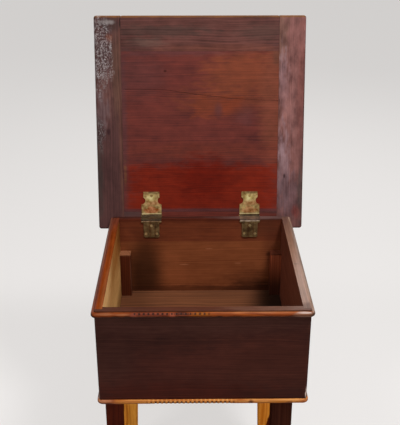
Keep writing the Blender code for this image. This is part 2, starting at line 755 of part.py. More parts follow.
def build_hinges(base, lid, back_wall, lid_panel, brass, screw_brass):
    """Two hinges, each with a rim leaf, a lid leaf, a pin and six screws."""
    rim_mesh = rim_leaf_mesh(brass)
    lid_mesh = lid_leaf_mesh(brass)
    screw = screw_mesh(screw_brass)
    pin = make_object("pin", pin_body(), screw_brass, None)
    pin_mesh = baked_mesh(pin)

    seat_half = LEAF_WIDTH / 2 + JOINT_GAP
    seat_low = AXIS_BELOW_RIM - LEAF_THICK - JOINT_GAP
    seat_front = -AXIS_BEHIND_WALL - WALL - LEAF_THICK
    for side_name, side in (("left", -1), ("right", 1)):
        offset = Vector((side * (SIDE - HINGE_INSET), 0.0, 0.0))
        at_rim = AXIS + offset
        place_mesh(f"{side_name}_hinge_rim_leaf", rim_mesh, brass, base, at_rim)
        place_mesh(f"{side_name}_hinge_pin", pin_mesh, screw_brass, base, at_rim)
        place_mesh(f"{side_name}_hinge_lid_leaf", lid_mesh, brass, lid, offset)

        seat = block((-seat_half, seat_front, seat_low), (seat_half, AXIS_BEHIND_WALL, AXIS_BEHIND_WALL))
        combine(back_wall, make_cutter(side_name + "_leaf_seat", seat, base, at_rim), "DIFFERENCE")
        rim_holes = make_cutter(side_name + "_rim_holes", screw_holes(rim_leaf_screws()), base, at_rim)
        combine(back_wall, rim_holes, "DIFFERENCE")
        lid_holes = make_cutter(side_name + "_lid_holes", screw_holes(lid_leaf_screws()), lid, offset)
        combine(lid_panel, lid_holes, "DIFFERENCE")

        for leaf_name, places, parent, origin in (
            ("rim", rim_leaf_screws(), base, at_rim), ("lid", lid_leaf_screws(), lid, offset)
        ):
            for number, place in enumerate(places, start=1):
                item = place_mesh(f"{side_name}_hinge_{leaf_name}_screw_{number}", screw, screw_brass, parent)
                item.matrix_local = Matrix.Translation(origin) @ place


def main():
    """Build the whole object with its lid open."""
    for item in list(bpy.data.objects):
        bpy.data.objects.remove(item)
    woods = {
        "dark": finish("dark_stained_wood", (0.034, 0.012, 0.008), 0.40),
        "red": finish("red_brown_lid_wood", (0.140, 0.030, 0.020), 0.45),
        "brown": finish("brown_inside_wood", (0.140, 0.062, 0.027), 0.60),
        "orange": finish("orange_bead_wood", (0.300, 0.091, 0.032), 0.42),
        "edge": finish("honey_edge_wood", (0.590, 0.220, 0.046), 0.42),
        "pale": finish("sapwood", (0.450, 0.150, 0.027), 0.50),
    }
    brass = finish("aged_brass", (0.351, 0.223, 0.061), 0.38, 1.0)
    screw_brass = finish("bright_brass", (0.552, 0.418, 0.178), 0.30, 1.0)

    base = make_empty("object_frame", None, (0.0, -outline_middle(), 0.0))
    lid = make_empty("lid_hinge_axis", base, AXIS, -lid_open_angle())
    build_stand(base, woods["dark"], woods["pale"], woods["edge"])
    back_wall = build_box(base, woods)
    lid_panel = build_lid(lid, woods)
    build_hinges(base, lid, back_wall, lid_panel, brass, screw_brass)


main()
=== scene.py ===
"""Looks of a sewing box on a stand: varnished woods with grain and wear, aged brass, notched mouldings.

Metres, +Z up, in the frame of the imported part. Patterns are worked out in millimetres on each board's own
axes: along its grain, across its face and out of its face.
"""
import json
import logging
import math
from dataclasses import dataclass, replace
from enum import Enum
from typing import Any

import bmesh
import bpy
from mathutils import Matrix, Vector

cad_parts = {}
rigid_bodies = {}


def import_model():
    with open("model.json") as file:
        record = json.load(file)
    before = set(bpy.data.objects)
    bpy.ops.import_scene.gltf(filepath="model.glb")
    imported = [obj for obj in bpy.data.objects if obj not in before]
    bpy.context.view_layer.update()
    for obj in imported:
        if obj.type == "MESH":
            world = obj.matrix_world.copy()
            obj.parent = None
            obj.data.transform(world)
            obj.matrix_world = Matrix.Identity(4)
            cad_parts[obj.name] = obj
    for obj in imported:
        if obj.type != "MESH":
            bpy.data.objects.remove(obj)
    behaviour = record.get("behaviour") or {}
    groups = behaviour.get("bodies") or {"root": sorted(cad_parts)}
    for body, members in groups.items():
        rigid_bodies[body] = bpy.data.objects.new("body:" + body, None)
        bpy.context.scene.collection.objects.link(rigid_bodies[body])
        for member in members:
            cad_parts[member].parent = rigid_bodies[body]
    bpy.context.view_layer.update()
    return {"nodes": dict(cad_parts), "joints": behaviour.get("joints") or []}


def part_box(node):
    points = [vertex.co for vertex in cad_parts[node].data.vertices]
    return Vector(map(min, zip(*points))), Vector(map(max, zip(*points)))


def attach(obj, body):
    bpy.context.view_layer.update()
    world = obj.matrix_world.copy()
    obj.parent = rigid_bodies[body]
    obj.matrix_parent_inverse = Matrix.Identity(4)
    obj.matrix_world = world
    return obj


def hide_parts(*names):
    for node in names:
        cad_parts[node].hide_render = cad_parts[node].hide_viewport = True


Pair = tuple[float, float]
Triple = tuple[float, float, float]
Socket = bpy.types.NodeSocket

LOG = logging.getLogger("sewing_box")
MM = 0.001
X_AXIS: Triple = (1.0, 0.0, 0.0)
Y_AXIS: Triple = (0.0, 1.0, 0.0)
Z_AXIS: Triple = (0.0, 0.0, 1.0)
FRONT: Triple = (0.0, -1.0, 0.0)
# Half size in millimetres of a mark that runs past every end of its board.
ENDLESS = 2000.0
# Most values of a noise texture lie between these two.
NOISE_LOW, NOISE_HIGH = 0.3, 0.7


def linear(hex_colour: str) -> tuple[float, float, float, float]:
    """Turn an sRGB hex colour into linear red, green, blue and alpha.

    Args:
        hex_colour: Six hex digits, with or without a leading hash.

    Returns:
        The four linear channels.
    """
    digits = hex_colour.lstrip("#")
    channels = [int(digits[start:start + 2], 16) / 255 for start in (0, 2, 4)]
    red, green, blue = (c / 12.92 if c <= 0.04045 else ((c + 0.055) / 1.055) ** 2.4 for c in channels)
    return (red, green, blue, 1.0)


def mesh_of(name: str, body: bmesh.types.BMesh) -> bpy.types.Mesh:
    """Turn a bmesh into a mesh.

    Args:
        name: Name of the mesh.
        body: Its shape, which is freed.

    Returns:
        The mesh.
    """
    mesh = bpy.data.meshes.new(name)
    body.to_mesh(mesh)
    body.free()
    return mesh


def place_object(name: str, data: bpy.types.ID) -> bpy.types.Object:
    """Put a new object in the scene.

    Args:
        name: Name of the object.
        data: Its mesh, light or camera.

    Returns:
        The object.
    """
    item = bpy.data.objects.new(name, data)
    bpy.context.scene.collection.objects.link(item)
    return item


class Shape(Enum):
    """Outline of a mark on a board."""

    OVAL = "oval"
    PANEL = "panel"


@dataclass(frozen=True)
class Tone:
    """Dark and light colour that the grain runs between."""

    deep: str
    light: str


@dataclass(frozen=True)
class Mark:
    """Patch of another tone on a board, such as a stained spot, a knot, a bare inner face, painted light or
    painted shade.

    Places and half sizes are in millimetres on the board's axes; soft and ragged are shares of the half size.
    gloss is the weight of the varnish inside the mark, or on brass the share of bare metal, where that
    differs from the rest.
    """

    middle: Triple
    half: Triple
    tone: Tone
    strength: float = 1.0
    soft: float = 0.3
    ragged: float = 0.0
    shape: Shape = Shape.OVAL
    gloss: float | None = None


Marks = tuple[Mark, ...]


def patches(*rows: tuple[Any, ...], depth: float = 6.0, out: float = 0.0) -> Marks:
    """Marks that lie flat on one face of a board.

    Args:
        rows: For each mark its middle along and across the board, its half size along and across, its tone,
            and then its strength, softness, raggedness and shape, as far as they differ from a plain mark's.
        depth: Half size of every mark into the board.
        out: Height of the face over the board's origin.

    Returns:
        The marks, in the same order.
    """
    return tuple(Mark((u, v, out), (along, across, depth), *look) for u, v, along, across, *look in rows)


@dataclass(frozen=True)
class Crackle:
    """Varnish that has shrunk into small clouded islands over part of a board.

    border is where an island fades in from its edge, in shares of its size. An island is clouded where its
    own chance and the weighted cloud over it add up to the values of clouding. rise is its bump height.
    """

    middle: Triple
    half: Triple
    island_mm: float
    film: Tone
    gap: str
    border: Pair = (0.04, 0.2)
    cloud_weight: float = 2.2
    clouding: Pair = (1.45, 1.75)
    gap_strength: float = 0.7
    rise: float = 4.0

    def area(self) -> Mark:
        """Part of the board that the islands take up."""
        return Mark(self.middle, self.half, self.film, soft=0.45, ragged=0.35)


@dataclass(frozen=True)
class NotchRun:
    """Row of small gouged notches along a moulding, which fade out at both ends.

    Sizes are millimetres on the moulding: from start to end along it, and from low to high across its face.
    Each tone comes in over a part of the wave, which runs from -1 in a hollow to 1 on a ridge.
    """

    start: float
    end: float
    pitch: float
    depth: float
    fade: float
    low: float
    high: float
    hollow: Tone
    ridge: Tone
    in_hollow: Pair = (0.0, -0.7)
    on_ridge: Pair = (0.2, 0.9)
    strength: float = 0.85
    into_mm: float = 30.0

    def depth_at(self, along: float, across: float) -> float:
        """Depth of the gouging at a place on the moulding.

        Args:
            along: Place along the moulding.
            across: Place across its face.

        Returns:
            The depth in millimetres.
        """
        inside = min(along - self.start, self.end - along) / self.fade
        middle = (self.low + self.high) / 2
        facing = 1.0 - abs(across - middle) / (self.high - middle)
        if inside <= 0 or facing <= 0:
            return 0.0
        wave = 0.5 - 0.5 * math.cos(2 * math.pi * (along - self.start) / self.pitch)
        return self.depth * min(1.0, inside) * min(1.0, 2 * facing) * wave

    def area(self) -> Mark:
        """Stretch of the moulding that the notches take up.

        Returns:
            A mark of that size.
        """
        length = (self.end - self.start) / 2
        rise = (self.high - self.low) / 2
        middle = (self.start + length, self.low + rise, 0.0)
        half = (length, rise, self.into_mm)
        return Mark(middle, half, self.hollow, soft=self.fade / length, shape=Shape.PANEL)


@dataclass(frozen=True)
class Board:
    """Axes of a board: along its grain, and out of its face, from a point on that face in metres."""

    along: Triple
    face: Triple
    origin: Triple

    def mapping(self) -> dict[str, Any]:
        """Turn from the part's axes to the board's.

        Returns:
            Inputs of a Mapping node that gives millimetres on the board.
        """
        along = Vector(self.along).normalized()
        face = Vector(self.face).normalized()
        rows = Matrix((along, face.cross(along), face))
        return {
            "Scale": (1 / MM,) * 3,
            "Rotation": rows.to_euler("XYZ"),
            "Location": -(rows @ Vector(self.origin)) / MM,
        }


class Graph:
    """Node tree of one material or of the world, with a single way to add nodes."""

    def __init__(self, tree: bpy.types.NodeTree) -> None:
        """Start from an empty tree."""
        self.tree = tree
        tree.nodes.clear()

    def add(
        self, kind: str, inputs: dict | None = None, out: int | str = 0, **settings: Any
    ) -> Socket | None:
        """Add a node with its settings and links.

        Args:
            kind: Node type without its ShaderNode prefix.
            inputs: Value or linked socket for each input, by name or number.
            out: Output that is wanted, by name or number.
            settings: Properties of the node itself.

        Returns:
            The wanted output socket, or None where the node has no output.
        """
        node = self.tree.nodes.new("ShaderNode" + kind)
        for name, value in settings.items():
            setattr(node, name, value)
        for key, value in (inputs or {}).items():
            if isinstance(value, Socket):
                self.tree.links.new(value, node.inputs[key])
            else:
                node.inputs[key].default_value = value
        return node.outputs[out] if node.outputs else None


class Surface(Graph):
    """Nodes of a piece's material, with the place on its board in millimetres and the colour laid so far."""

    RAGGED_MM: Triple = (28.0, 9.0, 9.0)
    CLOUD_MM: Triple = (13.0, 7.0, 7.0)
    NOISE_ROUGHNESS = 0.55

    def __init__(self, name: str, board: Board) -> None:
        """Start the material of a piece.

        Args:
            name: Name of the material.
            board: Axes of the piece.
        """
        self.material = bpy.data.materials.new(name)
        self.material.use_nodes = True
        super().__init__(self.material.node_tree)
        self.place = self.add("Mapping", {"Vector": self.add("TexCoord", out="Object"), **board.mapping()})
        self.colour: Any = None

    def shifted(self, step_mm: Triple, seed: int) -> Socket:
        """Place on the board after a number of steps, so that no two pieces match."""
        step = tuple(seed * size for size in step_mm)
        return self.add("VectorMath", {0: self.place, 1: step}, operation="ADD")

    def uneven(self, vector: Socket, size_mm: Triple, detail: float) -> Socket:
        """Uneven value with cells of a real size.

        Args:
            vector: Place on the board in millimetres.
            size_mm: Size of a cell along, across and into the board.
            detail: Octaves of finer noise.

        Returns:
            A value about 0.5.
        """
        cells = tuple(1 / size for size in size_mm)
        scaled = self.add("VectorMath", {0: vector, 1: cells}, operation="MULTIPLY")
        fineness = {"Scale": 1.0, "Detail": detail, "Roughness": self.NOISE_ROUGHNESS}
        return self.add("TexNoise", {"Vector": scaled, **fineness})

    def blend(self, value: Socket, tone: Tone) -> Socket:
        """Colour between a tone's two ends."""
        ends = {6: linear(tone.deep), 7: linear(tone.light)}
        return self.add("Mix", {0: value, **ends}, out=2, data_type="RGBA")

    def lay(self, mask: Socket, colour: Any) -> None:
        """Lay a colour over the one so far, where a mask shows it."""
        self.colour = self.add("Mix", {0: mask, 6: self.colour, 7: colour}, out=2, data_type="RGBA")

    def mask(self, mark: Mark) -> Socket:
        """Where a mark lies on the board.

        Args:
            mark: The mark.

        Returns:
            Its strength inside, and 0 outside.
        """
        offset = self.add("VectorMath", {0: self.place, 1: mark.middle}, operation="SUBTRACT")
        offset = self.add("VectorMath", {0: offset, 1: mark.half}, operation="DIVIDE")
        if mark.shape is Shape.OVAL:
            distance = self.add("VectorMath", {0: offset}, out=1, operation="LENGTH")
        else:
            offset = self.add("VectorMath", {0: offset}, operation="ABSOLUTE")
            axes = self.add("SeparateXYZ", {0: offset}).node.outputs
            distance = self.add("Math", {0: axes[0], 1: axes[1]}, operation="MAXIMUM")
            distance = self.add("Math", {0: distance, 1: axes[2]}, operation="MAXIMUM")
        if mark.ragged:
            edge = self.uneven(self.place, self.RAGGED_MM, 3.0)
            reach = {3: -mark.ragged, 4: mark.ragged}
            edge = self.add("MapRange", {0: edge, 1: NOISE_LOW, 2: NOISE_HIGH, **reach})
            distance = self.add("Math", {0: distance, 1: edge}, operation="ADD")
        ends = {1: 1.0 + mark.soft, 2: 1.0 - mark.soft, 3: 0.0, 4: mark.strength}
        return self.add("MapRange", {0: distance, **ends}, interpolation_type="SMOOTHSTEP")

    def paint(self, mark: Mark, value: Socket) -> Socket:
        """Lay a mark over the colour so far.

        Args:
            mark: The mark.
            value: Light and dark of the surface.

        Returns:
            Where the mark lies.
        """
        mask = self.mask(mark)
        self.lay(mask, self.blend(value, mark.tone))
        return mask

    def shrink_varnish(self, crackle: Crackle, height: Socket) -> Socket:
        """Lay islands of clouded varnish over part of the board.

        Args:
            crackle: Where the islands lie and how they look.
            height: Bump height below them.

        Returns:
            The new bump height.
        """
        area = self.mask(crackle.area())
        cells = self.add("VectorMath", {0: self.place, 3: 1 / crackle.island_mm}, operation="SCALE")
        edge = self.add("TexVoronoi", {"Vector": cells, "Scale": 1.0}, feature="DISTANCE_TO_EDGE")
        island = self.add("MapRange", {0: edge, 1: crackle.border[0], 2: crackle.border[1]})
        chance = self.add("TexVoronoi", {"Vector": cells, "Scale": 1.0}, out="Color")
        chance = self.add("SeparateXYZ", {0: chance})
        cloud = self.uneven(self.place, self.CLOUD_MM, 2.0)
        chance = self.add("Math", {0: cloud, 1: crackle.cloud_weight, 2: chance}, operation="MULTIPLY_ADD")
        clouded = self.add("MapRange", {0: chance, 1: crackle.clouding[0], 2: crackle.clouding[1]})
        film = self.add("Math", {0: island, 1: clouded}, operation="MULTIPLY")
        film = self.add("Math", {0: film, 1: area}, operation="MULTIPLY")
        gap = self.add("MapRange", {0: island, 3: crackle.gap_strength, 4: 0.0})
        gap = self.add("Math", {0: gap, 1: area}, operation="MULTIPLY")
        self.lay(film, self.blend(cloud, crackle.film))
        self.lay(gap, linear(crackle.gap))
        return self.add("Math", {0: film, 1: crackle.rise, 2: height}, operation="MULTIPLY_ADD")

    def darken_notches_with_dirt_and_shade(self, run: NotchRun, value: Socket) -> None:
        """Darken the hollows of a row of notches with old dirt and painted shade, and rub the ridges between
        them paler.

        Args:
            run: The notches.
            value: Light and dark of the grain.
        """
        area = self.mask(run.area())
        along = self.add("SeparateXYZ", {0: self.place})
        turn = 2 * math.pi / run.pitch
        phase = self.add("Math", {0: along, 1: turn, 2: -turn * run.start}, operation="MULTIPLY_ADD")
        wave = self.add("Math", {0: phase}, operation="COSINE")
        for tone, (start, full) in ((run.ridge, run.on_ridge), (run.hollow, run.in_hollow)):
            inside = self.add("MapRange", {0: wave, 1: start, 2: full, 4: run.strength})
            inside = self.add("Math", {0: inside, 1: area}, operation="MULTIPLY")
            self.lay(inside, self.blend(value, tone))

    def close(self, inputs: dict[str, Any]) -> bpy.types.Material:
        """Give the colour its shader.

        Args:
            inputs: The shader's other inputs.

        Returns:
            The finished material.
        """
        shader = self.add("BsdfPrincipled", {"Base Color": self.colour, **inputs})
        self.add("OutputMaterial", {"Surface": shader})
        return self.material


@dataclass(frozen=True)
class Finish:
    """Real material as it was made and has aged, whose colours run between the two ends of a tone."""

    name: str
    tone: Tone


@dataclass(frozen=True)
class Wood(Finish):
    """A sawn and finished wood.

    ring_mm is the spacing of the growth rings, wander_mm how far they stray and fibre_mm the width of a
    streak, which is drawn coarser than real fibre so that it shows. rings, streaks, blotches and mottle are
    the shares of each in the figure.
    """

    ring_mm: float = 5.0
    wander_mm: float = 30.0
    fibre_mm: float = 1.2
    rings: float = 0.40
    streaks: float = 0.30
    blotches: float = 0.30
    mottle: float = 0.0
    contrast: float = 1.0
    roughness: float = 0.5
    coat: float = 0.0
    coat_roughness: float = 0.2
    bump_mm: float = 0.08
    bump_strength: float = 0.6
    specular: float = 0.1
    spread: float = 0.13
    uneven_roughness: float = 0.07
    fibre_length_mm: float = 70.0
    stray_mm: Triple = (380.0, 80.0, 80.0)
    blotch_mm: Triple = (210.0, 90.0, 90.0)
    mottle_mm: Triple = (34.0, 20.0, 20.0)
    ring_tilt: Triple = (0.0, 1.0, 0.6)
    seed_step_mm: Triple = (211.0, 97.0, 53.0)

    def material(
        self, piece: str, board: Board, marks: Marks = (), crackles: tuple[Crackle, ...] = (),
        notches: tuple[NotchRun, ...] = (), seed: int = 0,
    ) -> bpy.types.Material:
        """Make this wood's material for one board.

        Args:
            piece: Name of the piece that wears it.
            board: Axes of the piece.
            marks: Patches of other tones, painted in order.
            crackles: Areas of shrunken varnish.
            notches: Rows of gouged notches.
            seed: Shifts the grain, so that no two boards match.

        Returns:
            The material.
        """
        surface = Surface(f"{self.name}_{piece}", board)
        grain = surface.shifted(self.seed_step_mm, seed)
        fibre = surface.uneven(grain, (self.fibre_length_mm, self.fibre_mm, self.fibre_mm), 3.0)
        value = self.figure(surface, grain, fibre)
        surface.colour = surface.blend(value, self.tone)
        coat: Any = self.coat
        for mark in marks:
            mask = surface.paint(mark, value)
            if mark.gloss is not None:
                coat = surface.add("Mix", {0: mask, 2: coat, 3: mark.gloss})
        height = fibre
        for crackle in crackles:
            height = surface.shrink_varnish(crackle, height)
        for run in notches:
            surface.darken_notches_with_dirt_and_shade(run, value)
        change = self.uneven_roughness
        reach = {3: self.roughness + change, 4: self.roughness - change}
        rough = surface.add("MapRange", {0: fibre, 1: NOISE_LOW, 2: NOISE_HIGH, **reach})
        relief = {"Strength": self.bump_strength, "Distance": self.bump_mm * MM, "Height": height}
        return surface.close({
            "Roughness": rough, "Specular IOR Level": self.specular, "Normal": surface.add("Bump", relief),
            "Coat Weight": coat, "Coat Roughness": self.coat_roughness,
        })

    def figure(self, surface: Surface, grain: Socket, fibre: Socket) -> Socket:
        """Light and dark of the grain: rings that wander along the board, streaks, slow blotches and mottle.

        Args:
            surface: Nodes of the material.
            grain: Shifted place on the board.
            fibre: Streak noise.

        Returns:
            A value from 0, dark, to 1, light.
        """
        stray = surface.uneven(grain, self.stray_mm, 2.0)
        blotch = surface.uneven(grain, self.blotch_mm, 2.0)
        cloud = surface.uneven(grain, self.mottle_mm, 3.0)
        skew = surface.add("VectorMath", {0: grain, 1: self.ring_tilt}, out=1, operation="DOT_PRODUCT")
        ring = surface.add("Math", {0: stray, 1: self.wander_mm, 2: skew}, operation="MULTIPLY_ADD")
        ring = surface.add("Math", {0: ring, 1: self.ring_mm}, operation="DIVIDE")
        rings = surface.add("TexNoise", {"W": ring, "Scale": 1.0, "Detail": 2.0}, noise_dimensions="1D")
        parts = ((rings, self.rings), (fibre, self.streaks), (blotch, self.blotches), (cloud, self.mottle))
        total: Any = 0.0
        for part, share in parts:
            total = surface.add("Math", {0: part, 1: share, 2: total}, operation="MULTIPLY_ADD")
        middle = sum(share for _, share in parts) / 2
        spread = self.spread / self.contrast
        return surface.add("MapRange", {0: total, 1: middle - spread, 2: middle + spread})


@dataclass(frozen=True)
class Brass(Finish):
    """Sheet or turned brass, clean where it is handled, and stained or caked with dirt elsewhere."""

    roughness: float = 0.3
    patch_mm: float = 10.0
    uneven_roughness: float = 0.15
    dirt_roughness: float = 0.6
    clean_ends: Pair = (0.36, 0.62)
    rough_ends: Pair = (0.35, 0.65)
    specular: float = 0.15
    bump_mm: float = 0.05
    bump_strength: float = 0.3
    seed_step_mm: Triple = (31.0, 17.0, 7.0)

    def material(self, piece: str, board: Board, marks: Marks = (), seed: int = 0) -> bpy.types.Material:
        """Make the material for one piece.

        Args:
            piece: Name of the piece that wears it.
            board: Axes of the piece.
            marks: Patches of other tones, painted in order.
            seed: Shifts the stains.

        Returns:
            The material.
        """
        surface = Surface(f"{self.name}_{piece}", board)
        stains = surface.uneven(surface.shifted(self.seed_step_mm, seed), (self.patch_mm,) * 3, 3.0)
        clean = surface.add("MapRange", {0: stains, 1: self.clean_ends[0], 2: self.clean_ends[1]})
        surface.colour = surface.blend(clean, self.tone)
        metal: Any = 1.0
        low, high = self.rough_ends
        reach = {3: self.roughness + self.uneven_roughness, 4: self.roughness}
        rough = surface.add("MapRange", {0: stains, 1: low, 2: high, **reach})
        for mark in marks:
            mask = surface.paint(mark, clean)
            if mark.gloss is not None:
                metal = surface.add("Mix", {0: mask, 2: metal, 3: mark.gloss})
                rough = surface.add("Mix", {0: mask, 2: rough, 3: self.dirt_roughness})
        relief = {"Strength": self.bump_strength, "Distance": self.bump_mm * MM, "Height": stains}
        return surface.close({
            "Metallic": metal, "Roughness": rough, "Specular IOR Level": self.specular,
            "Normal": surface.add("Bump", relief),
        })


# Planed wood, stained dark and varnished long ago: near black-brown with a red glow and hardly any shine.
STAINED = Wood(
    "dark_stained_wood", Tone("28120d", "401f18"), ring_mm=4.0, rings=0.25, mottle=0.2, specular=0.06,
)
# The same stain rubbed matt by hands: no grey sheen at a low angle.
MATT_STAINED = replace(STAINED, name="rubbed_stained_wood", specular=0.0)
# Planed legs with a red stain under thin varnish: deep red-brown with a faint gleam.
LEG = Wood(
    "red_stained_leg_wood", Tone("38120a", "5a200e"), ring_mm=6.0, coat=0.05, coat_roughness=0.35,
    specular=0.0,
)
# Planed frame of the lid, its stain faded by light: a greyer brown with clear streaks.
LID_FRAME = Wood(
    "lid_frame_wood", Tone("382221", "563734"), ring_mm=4.0, rings=0.3, blotches=0.25, mottle=0.25,
    contrast=1.15,
)
# The same frame under varnish that has clouded: a mauve haze in soft patches, its paleness partly a painted
# sheen.
HAZE_AND_SHEEN = Wood(
    "haze_and_sheen_lid_wood", Tone("4e302d", "825651"), ring_mm=3.0, rings=0.1, streaks=0.2, blotches=0.2, mottle=0.5,
    contrast=1.1,
)
# Planed panel with a red stain under satin varnish: a warm red, uneven along its fine grain.
LID_RED = Wood(
    "red_lid_wood", Tone("421e1c", "682f27"), ring_mm=3.0, fibre_mm=0.9, rings=0.22, streaks=0.28,
    blotches=0.22, mottle=0.28, contrast=1.1,
)
# Planed wood left bare inside the box: dry brown without gloss.
INSIDE = Wood("bare_inside_wood", Tone("4a2c1c", "6c4129"), ring_mm=6.0, roughness=0.65, specular=0.06)
# Sawn posts left bare: dull red-brown with straight streaks.
POST = Wood("post_wood", Tone("401c0e", "602c18"), roughness=0.6, specular=0.06)
# Moulded bead under clear varnish: orange-brown, with a slight gleam on its round.
BEAD = Wood(
    "varnished_bead_wood", Tone("68290c", "a05420"), ring_mm=3.0, roughness=0.4, coat=0.03, specular=0.05,
)
# Rounded edge of the top board under clear varnish: honey, with a slight gleam on its round.
HONEY = replace(BEAD, name="honey_edge_wood", tone=Tone("8c430e", "c07a2a"), coat=0.04)
# Planed sapwood under clear varnish: pale orange-yellow with wide, quiet grain.
SAPWOOD = Wood("pale_leg_sapwood", Tone("c0691c", "ee9e3c"), ring_mm=7.0, specular=0.0)
# Rolled sheet brass, tarnished: yellow-brown in soft patches with a blurred shine.
LEAF_BRASS = Brass("aged_sheet_brass", Tone("86653a", "dcbc7e"), 0.3, 12.0)
# Turned brass, kept clean by wear: pale yellow with a wide, soft shine.
SCREW_BRASS = Brass("turned_screw_brass", Tone("c8b07a", "f4e0b0"), 0.42, 4.0)
# Turned screws tarnished like the leaf that they hold, so that they hardly stand out from it.
DULL_SCREW_BRASS = replace(LEAF_BRASS, name="dulled_turned_screw_brass")
# Drawn brass wire, dirty between the knuckles: a dark yellow-brown.
PIN_BRASS = Brass("drawn_pin_brass", Tone("5c4a2c", "947a4c"), 0.4, 4.0)


@dataclass
class Dresser:
    """Gives pieces their materials and their places in the part."""

    nodes: dict[str, bpy.types.Object]
    seed: int = 0
    merge: float = 1e-6
    flat_deg: float = 1.0
    sharp_deg: float = 40.0

    def paint(self, piece: bpy.types.Object, material: bpy.types.Material) -> None:
        """Give a piece one material.

        Args:
            piece: CAD node or new piece.
            material: Its material.
        """
        piece.data.materials.clear()
        piece.data.materials.append(material)
        LOG.info("dressed %s in %s", piece.name, material.name)

    def paint_wood(
        self, piece: bpy.types.Object, wood: Wood, board: Board, marks: Marks = (),
        crackles: tuple[Crackle, ...] = (), notches: tuple[NotchRun, ...] = (),
    ) -> None:
        """Give a piece a wood of its own.

        Args:
            piece: CAD node or new piece.
            wood: Its finish.
            board: Its axes.
            marks: Patches of other tones.
            crackles: Areas of shrunken varnish.
            notches: Rows of gouged notches.
        """
        self.seed += 1
        self.paint(piece, wood.material(piece.name, board, marks, crackles, notches, self.seed))

    def cad_copy(self, name: str) -> bmesh.types.BMesh:
        """Copy a CAD node's mesh with its triangles joined into flat faces.

        Args:
            name: The node.

        Returns:
            The copy.
        """
        body = bmesh.new()
        body.from_mesh(self.nodes[name].data)
        bmesh.ops.remove_doubles(body, verts=body.verts, dist=self.merge)
        flat = math.radians(self.flat_deg)
        bmesh.ops.dissolve_limit(body, angle_limit=flat, verts=body.verts, edges=body.edges)
        return body

    def add_piece(
        self, name: str, body: bmesh.types.BMesh, stands_for: str, rides_on: str, slot: str,
        rounded: bool = True,
    ) -> bpy.types.Object:
        """Make a new piece that stands for a CAD node.

        Args:
            name: Name of the piece.
            body: Its mesh, which is freed.
            stands_for: CAD node that it replaces.
            rides_on: Body that carries it.
            slot: Material slot of the record; not used.
            rounded: Whether its faces are shaded as curved.

        Returns:
            The new object.
        """
        bmesh.ops.recalc_face_normals(body, faces=body.faces)
        mesh = mesh_of(name, body)
        if rounded:
            mesh.shade_smooth()
            mesh.set_sharp_from_angle(angle=math.radians(self.sharp_deg))
        else:
            mesh.shade_flat()
        piece = place_object(name, mesh)
        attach(piece, rides_on)
        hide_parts(stands_for)
        LOG.info("built %s for %s", name, stands_for)
        return piece


